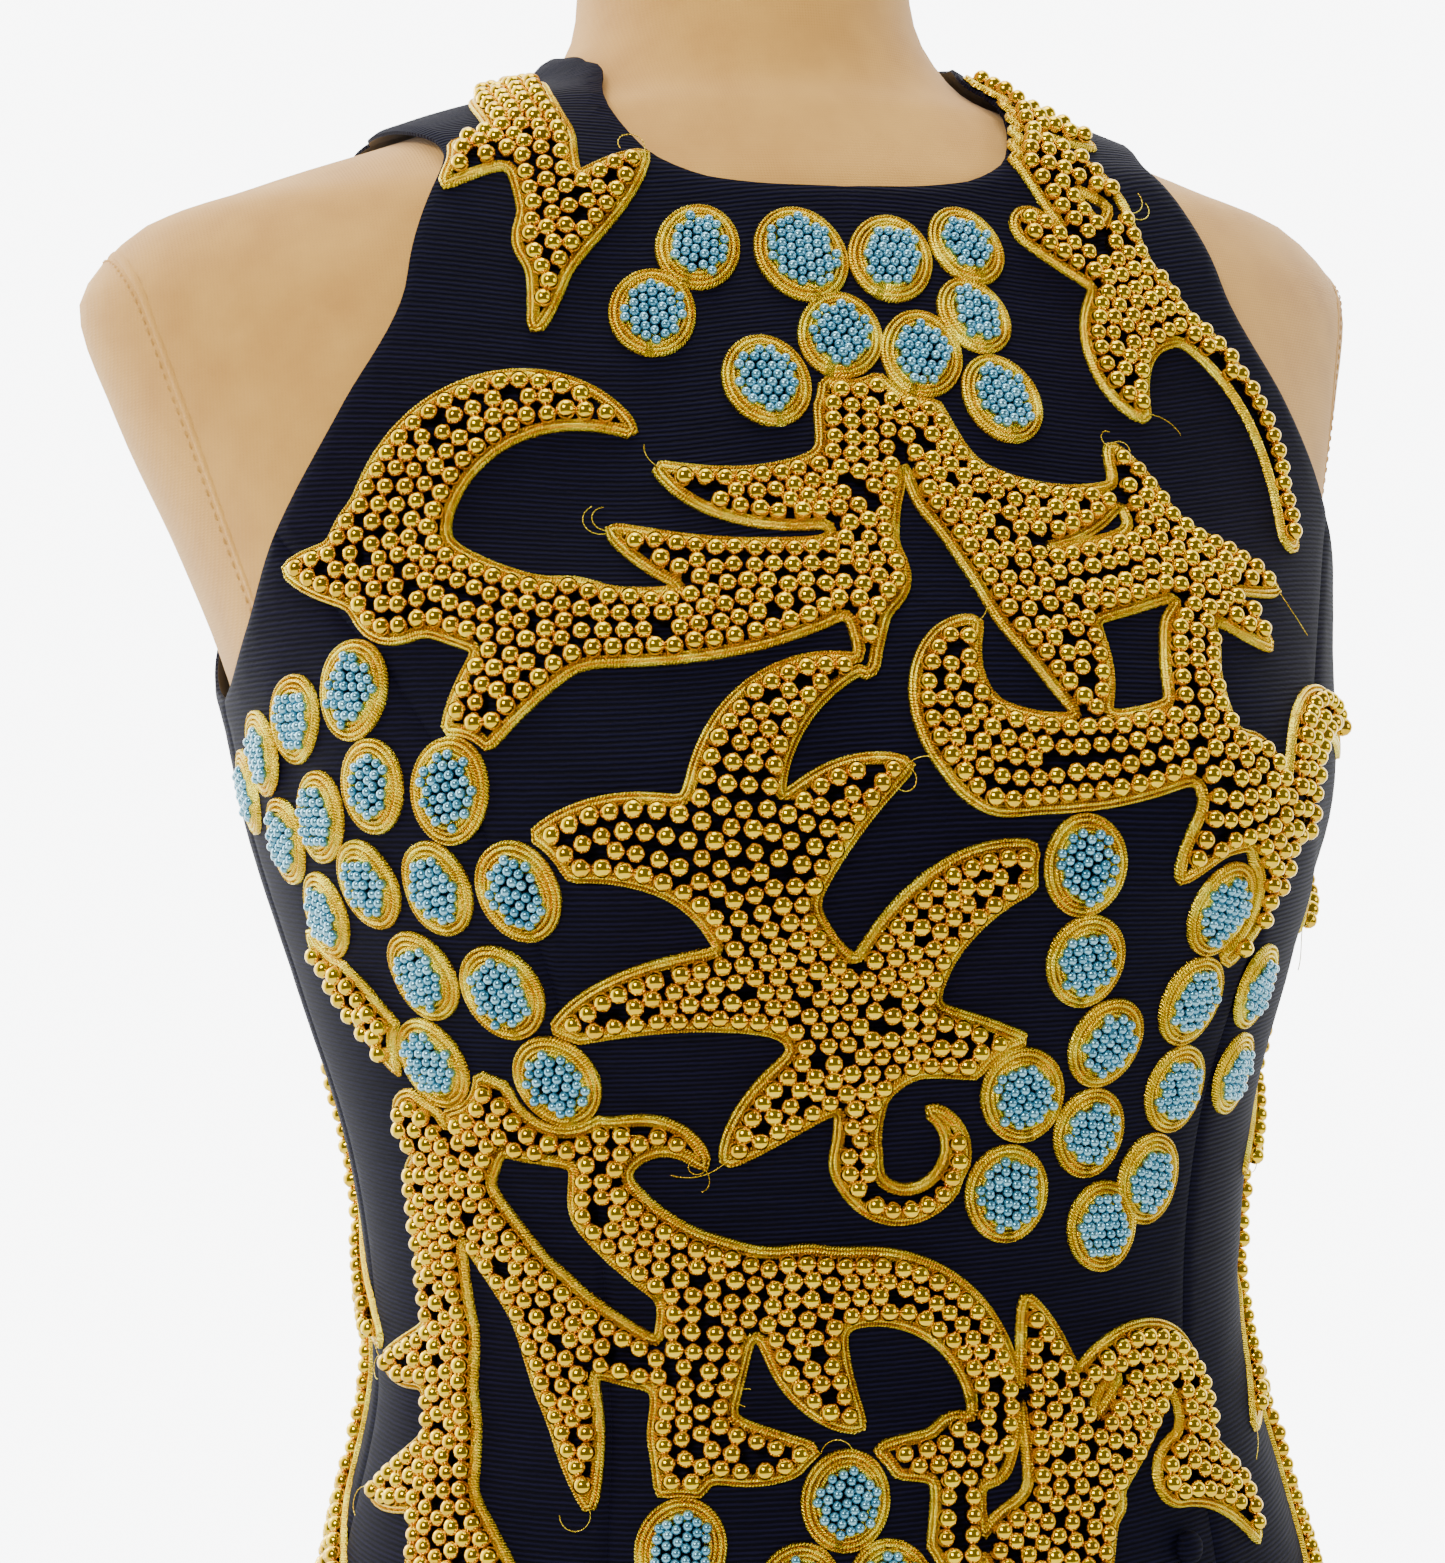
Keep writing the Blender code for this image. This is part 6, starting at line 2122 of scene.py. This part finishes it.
@dataclass
class CoveredButtons:
    """Two small buttons covered in the dress's cloth: a crowned top, a rolled edge and a shank below."""

    sides: int = 36
    folds: int = 9
    gather: float = 0.012

    def build(self, material: bpy.types.Material) -> None:
        """Makes both buttons.

        Args:
            material: The covers' material.
        """
        r, t = BUTTON_RADIUS, BUTTON_THICK
        profile = np.array([
            (0.0, t), (0.25 * r, 0.985 * t), (0.5 * r, 0.93 * t), (0.7 * r, 0.84 * t), (0.86 * r, 0.68 * t),
            (0.96 * r, 0.48 * t), (r, 0.3 * t), (0.97 * r, 0.14 * t), (0.88 * r, 0.04 * t), (0.3 * r, 0.0),
            (0.28 * r, -0.2 * t), (0.0, -0.2 * t),
        ])
        turn = np.arange(self.sides) * math.tau / self.sides
        for name, side in (("hip_button_left", 1), ("hip_button_right", -1)):
            angle, run = math.radians(side * BUTTON_ANGLE), FIGURE.run_at(BUTTON_Z)
            normal = FIGURE.frame(angle, run)[2]
            first = np.cross([0, 0, 1.0], normal)
            first /= np.linalg.norm(first)
            second = np.cross(normal, first)
            spot = FIGURE.at(angle, run) + normal * (TOP_OF_CLOTH + BUTTON_GAP)
            # Folds of the cover gather at the edge
            gather = 1 + self.gather * np.sin(self.folds * turn)
            x = profile[:, None, 0] * np.cos(turn) * gather
            y = profile[:, None, 0] * np.sin(turn) * gather
            points = spot + x[..., None] * first + y[..., None] * second + profile[:, None, None, 1] * normal
            quads = grid_quads(len(profile), self.sides, columns_close=True, flip=True)
            uv = np.stack([x, y], -1).reshape(-1, 2)
            obj = new_object(f"{name}_cover", points.reshape(-1, 3), quads, material, uv=uv)
            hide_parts(name)
            dress(obj)


@dataclass
class DressForm:
    """The limbless form under the dress: linen over a moulded body, seamed at the arms."""

    sides: int = 120
    pitch: float = 7.0
    plate_slope: tuple[float, float] = (0.964, -0.265)
    plate_at: float = -185.3
    stitch_pitch: float = 3.4
    stitch_long: float = 2.2
    stitch_half: float = 0.28
    stitch_aside: float = 2.6

    def body(self, linen: bpy.types.Material) -> None:
        """Makes the body, closed at both ends.

        Args:
            linen: The body's material.
        """
        runs = steps(FIGURE.run_at(FORM_BOTTOM), FIGURE.run_at(FORM_TOP), self.pitch)
        turn = np.arange(self.sides) * math.tau / self.sides
        rings = FIGURE.out(turn[None], runs[:, None], np.full((len(runs), self.sides), FORM_OUT))
        # The neck's top is crowned a little within the height of the solid's
        rings[-1, :, 2] -= 2.2
        points = [rings.reshape(-1, 3)]
        middle = rings[-1].mean(0)
        for scale, up in ((0.93, 1.5), (0.7, 2.0), (0.35, 2.2), (0.0005, 2.2)):
            points.append((rings[-1] - middle) * [scale, scale, 1] + middle + [0, 0, up])
        low = rings[0].mean(0)
        points.insert(0, (rings[0] - low) * [0.0005, 0.0005, 1] + low)
        points = np.concatenate(points)
        quads = grid_quads(len(points) // self.sides, self.sides, columns_close=True)
        obj = new_object("form_body", points, quads, linen, sharp=50)
        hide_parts("dress_form")
        dress(obj)

    def seam(self, name: str, places: np.ndarray, linen: bpy.types.Material) -> None:
        """A seam on the form: a low welt along a closed line.

        Args:
            name: The piece's name.
            places: The line's places (angle, run).
            linen: The seam's material.
        """
        places = even(places, 3.0)
        normals = FIGURE.ways(places)[2]
        spots = FIGURE.spots(places) + normals * FORM_OUT
        section = np.array([(-1.2, -0.2), (-0.7, 0.12), (0, 0.2), (0.7, 0.12), (1.2, -0.2)])
        points, faces, uv = swept(spots, normals, section)
        obj = new_object(name, points, faces, linen, uv=uv, sharp=80)
        dress(obj)

    def build(self, linen: bpy.types.Material, thread: bpy.types.Material) -> None:
        """Makes the body, the arm plates' seams and the stitches beside them.

        Args:
            linen: The material of the body and the seams.
            thread: The stitches' material.
        """
        self.body(linen)
        angles = np.radians(np.arange(20, 162, 1.0))
        runs = np.arange(FIGURE.run_at(1150), FIGURE.run_at(1412), 2.0)
        grid = np.stack(np.meshgrid(angles, runs, indexing="ij"), -1)
        spots = FIGURE.spots(grid)
        value = spots[..., 0] * self.plate_slope[0] + spots[..., 2] * self.plate_slope[1] - self.plate_at
        value[[0, -1]] = OUTSIDE
        value[:, [0, -1]] = OUTSIDE
        stitches = []
        for line in contour(value, 0.0):
            places = chart_line(line, angles, runs)
            if len(places) < 60:
                continue
            for name, side in (("left", 1), ("right", -1)):
                mine = places * [side, 1]
                self.seam(f"form_arm_seam_{name}", mine, linen)
                stitches.append(mine)
        self.stitching(stitches, thread)

    def stitching(self, lines: Sequence[np.ndarray], thread: bpy.types.Material) -> None:
        """Sews short stitches in a row beside each line.

        Args:
            lines: Closed lines of places (angle, run).
            thread: The stitches' material.
        """
        points, faces = [], []
        for line in lines:
            places = even(line, self.stitch_pitch)
            _, _, normal = FIGURE.ways(places)
            spots = FIGURE.spots(places)
            along = np.roll(spots, -1, axis=0) - spots
            along /= np.linalg.norm(along, axis=1, keepdims=True)
            aside = np.cross(normal, along)
            sign = np.sign((aside * [1, 0, 0]).sum(1).mean() * np.sign(places[:, 0].mean()))
            base = spots + aside * self.stitch_aside * sign
            for start, way, out, flank in zip(base, along, normal, aside):
                low = len(points)
                half, full = flank * self.stitch_half, way * self.stitch_long
                corners = [start - half, start + half, start + full + half, start + full - half]
                points += [c + out * (FORM_OUT - 0.1) for c in corners]
                points += [start + way * at + out * (FORM_OUT + 0.35) for at in (0.5, 1.7)]
                faces += [
                    (low, low + 1, low + 4, low + 4), (low + 1, low + 2, low + 5, low + 4),
                    (low + 2, low + 3, low + 5, low + 5), (low + 3, low, low + 4, low + 5),
                ]
        triangles = []
        for a, b, c, d in faces:
            triangles.append((a, b, c))
            if d != c:
                triangles.append((a, c, d))
        obj = new_object("form_stitches", np.array(points), np.array(triangles), thread, sharp=80)
        dress(obj)


@dataclass
class Studio:
    """A pale floor, soft light and a camera at the photograph's angle, in metres and degrees."""

    azimuth: float = -16.83
    elevation: float = 0.55
    roll: float = -2.25
    distance: float = 0.828
    focal_px: float = 2883.0
    target: tuple[float, float, float] = (-0.0193, 0.0, 1.2167)

    def camera(self) -> None:
        """Places the camera."""
        a, e, r = (math.radians(v) for v in (self.azimuth, self.elevation, self.roll))
        ahead = Vector((-math.sin(a) * math.cos(e), math.cos(a) * math.cos(e), -math.sin(e)))
        right = ahead.cross(Vector((0, 0, 1))).normalized()
        up = right.cross(ahead)
        rolled = right * math.cos(r) + up * math.sin(r)
        upright = up * math.cos(r) - right * math.sin(r)
        data = bpy.data.cameras.new("photo_camera")
        data.sensor_fit = "VERTICAL"
        data.sensor_height = 24.0
        data.lens = self.focal_px / PHOTO_TALL * data.sensor_height
        data.clip_start, data.clip_end = 0.02, 60.0
        obj = bpy.data.objects.new("photo_camera", data)
        turn = Matrix((rolled, upright, -ahead)).transposed().to_4x4()
        obj.matrix_world = Matrix.Translation(Vector(self.target) - ahead * self.distance) @ turn
        bpy.context.scene.collection.objects.link(obj)
        bpy.context.scene.camera = obj

    def light(self, name: str, spot: Sequence[float], size: float, watts: float, colour: str) -> None:
        """A square soft light that faces the dress.

        Args:
            name: The light's name.
            spot: Where it is, in metres.
            size: How wide it is, in metres.
            watts: Its power.
            colour: Its sRGB hex code.
        """
        data = bpy.data.lights.new(name, "AREA")
        data.shape, data.size, data.energy = "SQUARE", size, watts
        data.color = linear(colour)[:3]
        obj = bpy.data.objects.new(name, data)
        obj.location = spot
        way = Vector((0, 0, 1.2)) - Vector(spot)
        obj.rotation_mode = "QUATERNION"
        obj.rotation_quaternion = way.to_track_quat("-Z", "Y")
        bpy.context.scene.collection.objects.link(obj)

    def floor(self) -> None:
        """A round pale floor, painted smooth."""
        sides = 96
        turn = np.arange(sides) * math.tau / sides
        rings = [
            np.stack([np.cos(turn) * r, np.sin(turn) * r, np.full(sides, -0.4)], -1) for r in (1, 900, 2600)
        ]
        quads = grid_quads(len(rings), sides, columns_close=True, flip=True)
        made = bpy.data.materials.new("painted_floor")
        made.use_nodes = True
        tree = made.node_tree
        shader = tree.nodes["Principled BSDF"]
        shader.inputs["Roughness"].default_value = 0.7
        colour = blended(tree, noise(tree, object_space(tree), 2.0, 3.0), "#e4e4e2", "#dadad8")
        tree.links.new(colour, shader.inputs["Base Color"])
        obj = new_object("studio_floor", np.concatenate(rings), quads, made)

    def world(self) -> None:
        """An even white surround, which lights the dress less from the front than from behind."""
        made = bpy.data.worlds.new("pale_studio")
        made.use_nodes = True
        tree = made.node_tree
        background = tree.nodes["Background"]
        place = add_node(tree, "TexCoord")
        parts = add_node(tree, "SeparateXYZ", {"Vector": place.outputs["Generated"]})
        depth = ranged(tree, parts.outputs["Y"], -0.25, 0.6)
        tree.links.new(blended(tree, depth, "#3a3a39", "#f5f6f6"), background.inputs["Color"])
        background.inputs["Strength"].default_value = 4.6
        wall = add_node(tree, "Background", {"Color": linear("#fafbfc"), "Strength": 8.5})
        path = add_node(tree, "LightPath")
        seen = add_node(tree, "MixShader", {
            "0": path.outputs["Is Camera Ray"], "1": background.outputs[0], "2": wall.outputs[0],
        })
        tree.links.new(seen.outputs[0], tree.nodes["World Output"].inputs["Surface"])
        bpy.context.scene.world = made

    def build(self) -> None:
        """Sets the studio up."""
        self.camera()
        self.floor()
        self.world()
        self.light("key", (-1.7, -2.0, 2.5), 0.9, 62.0, "#fffdf8")
        self.light("fill", (2.0, -1.7, 1.6), 1.3, 22.0, "#f6f8ff")
        self.light("top", (0.0, -0.2, 3.2), 1.2, 26.0, "#ffffff")
        self.light("rim", (-1.6, 1.9, 2.2), 0.9, 26.0, "#ffffff")


def main() -> None:
    """Builds the studio, then the dress from the cloth out, and the stand."""
    logging.basicConfig(level=logging.INFO, format="%(message)s")
    Studio().build()
    cloth, lining = RibbedFaille().build(), AcetateLining().build()
    gold, pearl, braid = PlatedBead().build(), BluePearl().build(), MetalThreadBraid().build()
    linen = FormLinen().build()
    brass = PlainMetal(
        "antique_brass", roughness=0.42, metallic=1.0, tint="#8a744a", shadow="#3c2f1a",
    ).build()
    steel = PlainMetal(
        "brushed_steel", roughness=0.36, metallic=1.0, tint="#b9b7b2", shadow="#8f8d88",
        stretch=(1.0, 1.0, 0.02),
    ).build()
    cut, drape = DressCut(), Drape()
    for name, outline in cut.panels().items():
        ClothPanel(name, outline, drape).build(cloth, lining)
    vine = Vine(cut)
    BraidWork(vine, drape).build(braid)
    GoldBeads(vine, drape).build(gold)
    GrapePearls(vine, drape).build(pearl)
    LooseEnds(vine, drape).build(braid)
    BackZip().build(brass, cloth)
    CoveredButtons().build(cloth)
    DressForm().build(linen, linen)
    redress("pole", steel)
    redress("foot", StainedBeech().build())


if __name__ == "__main__":
    main()
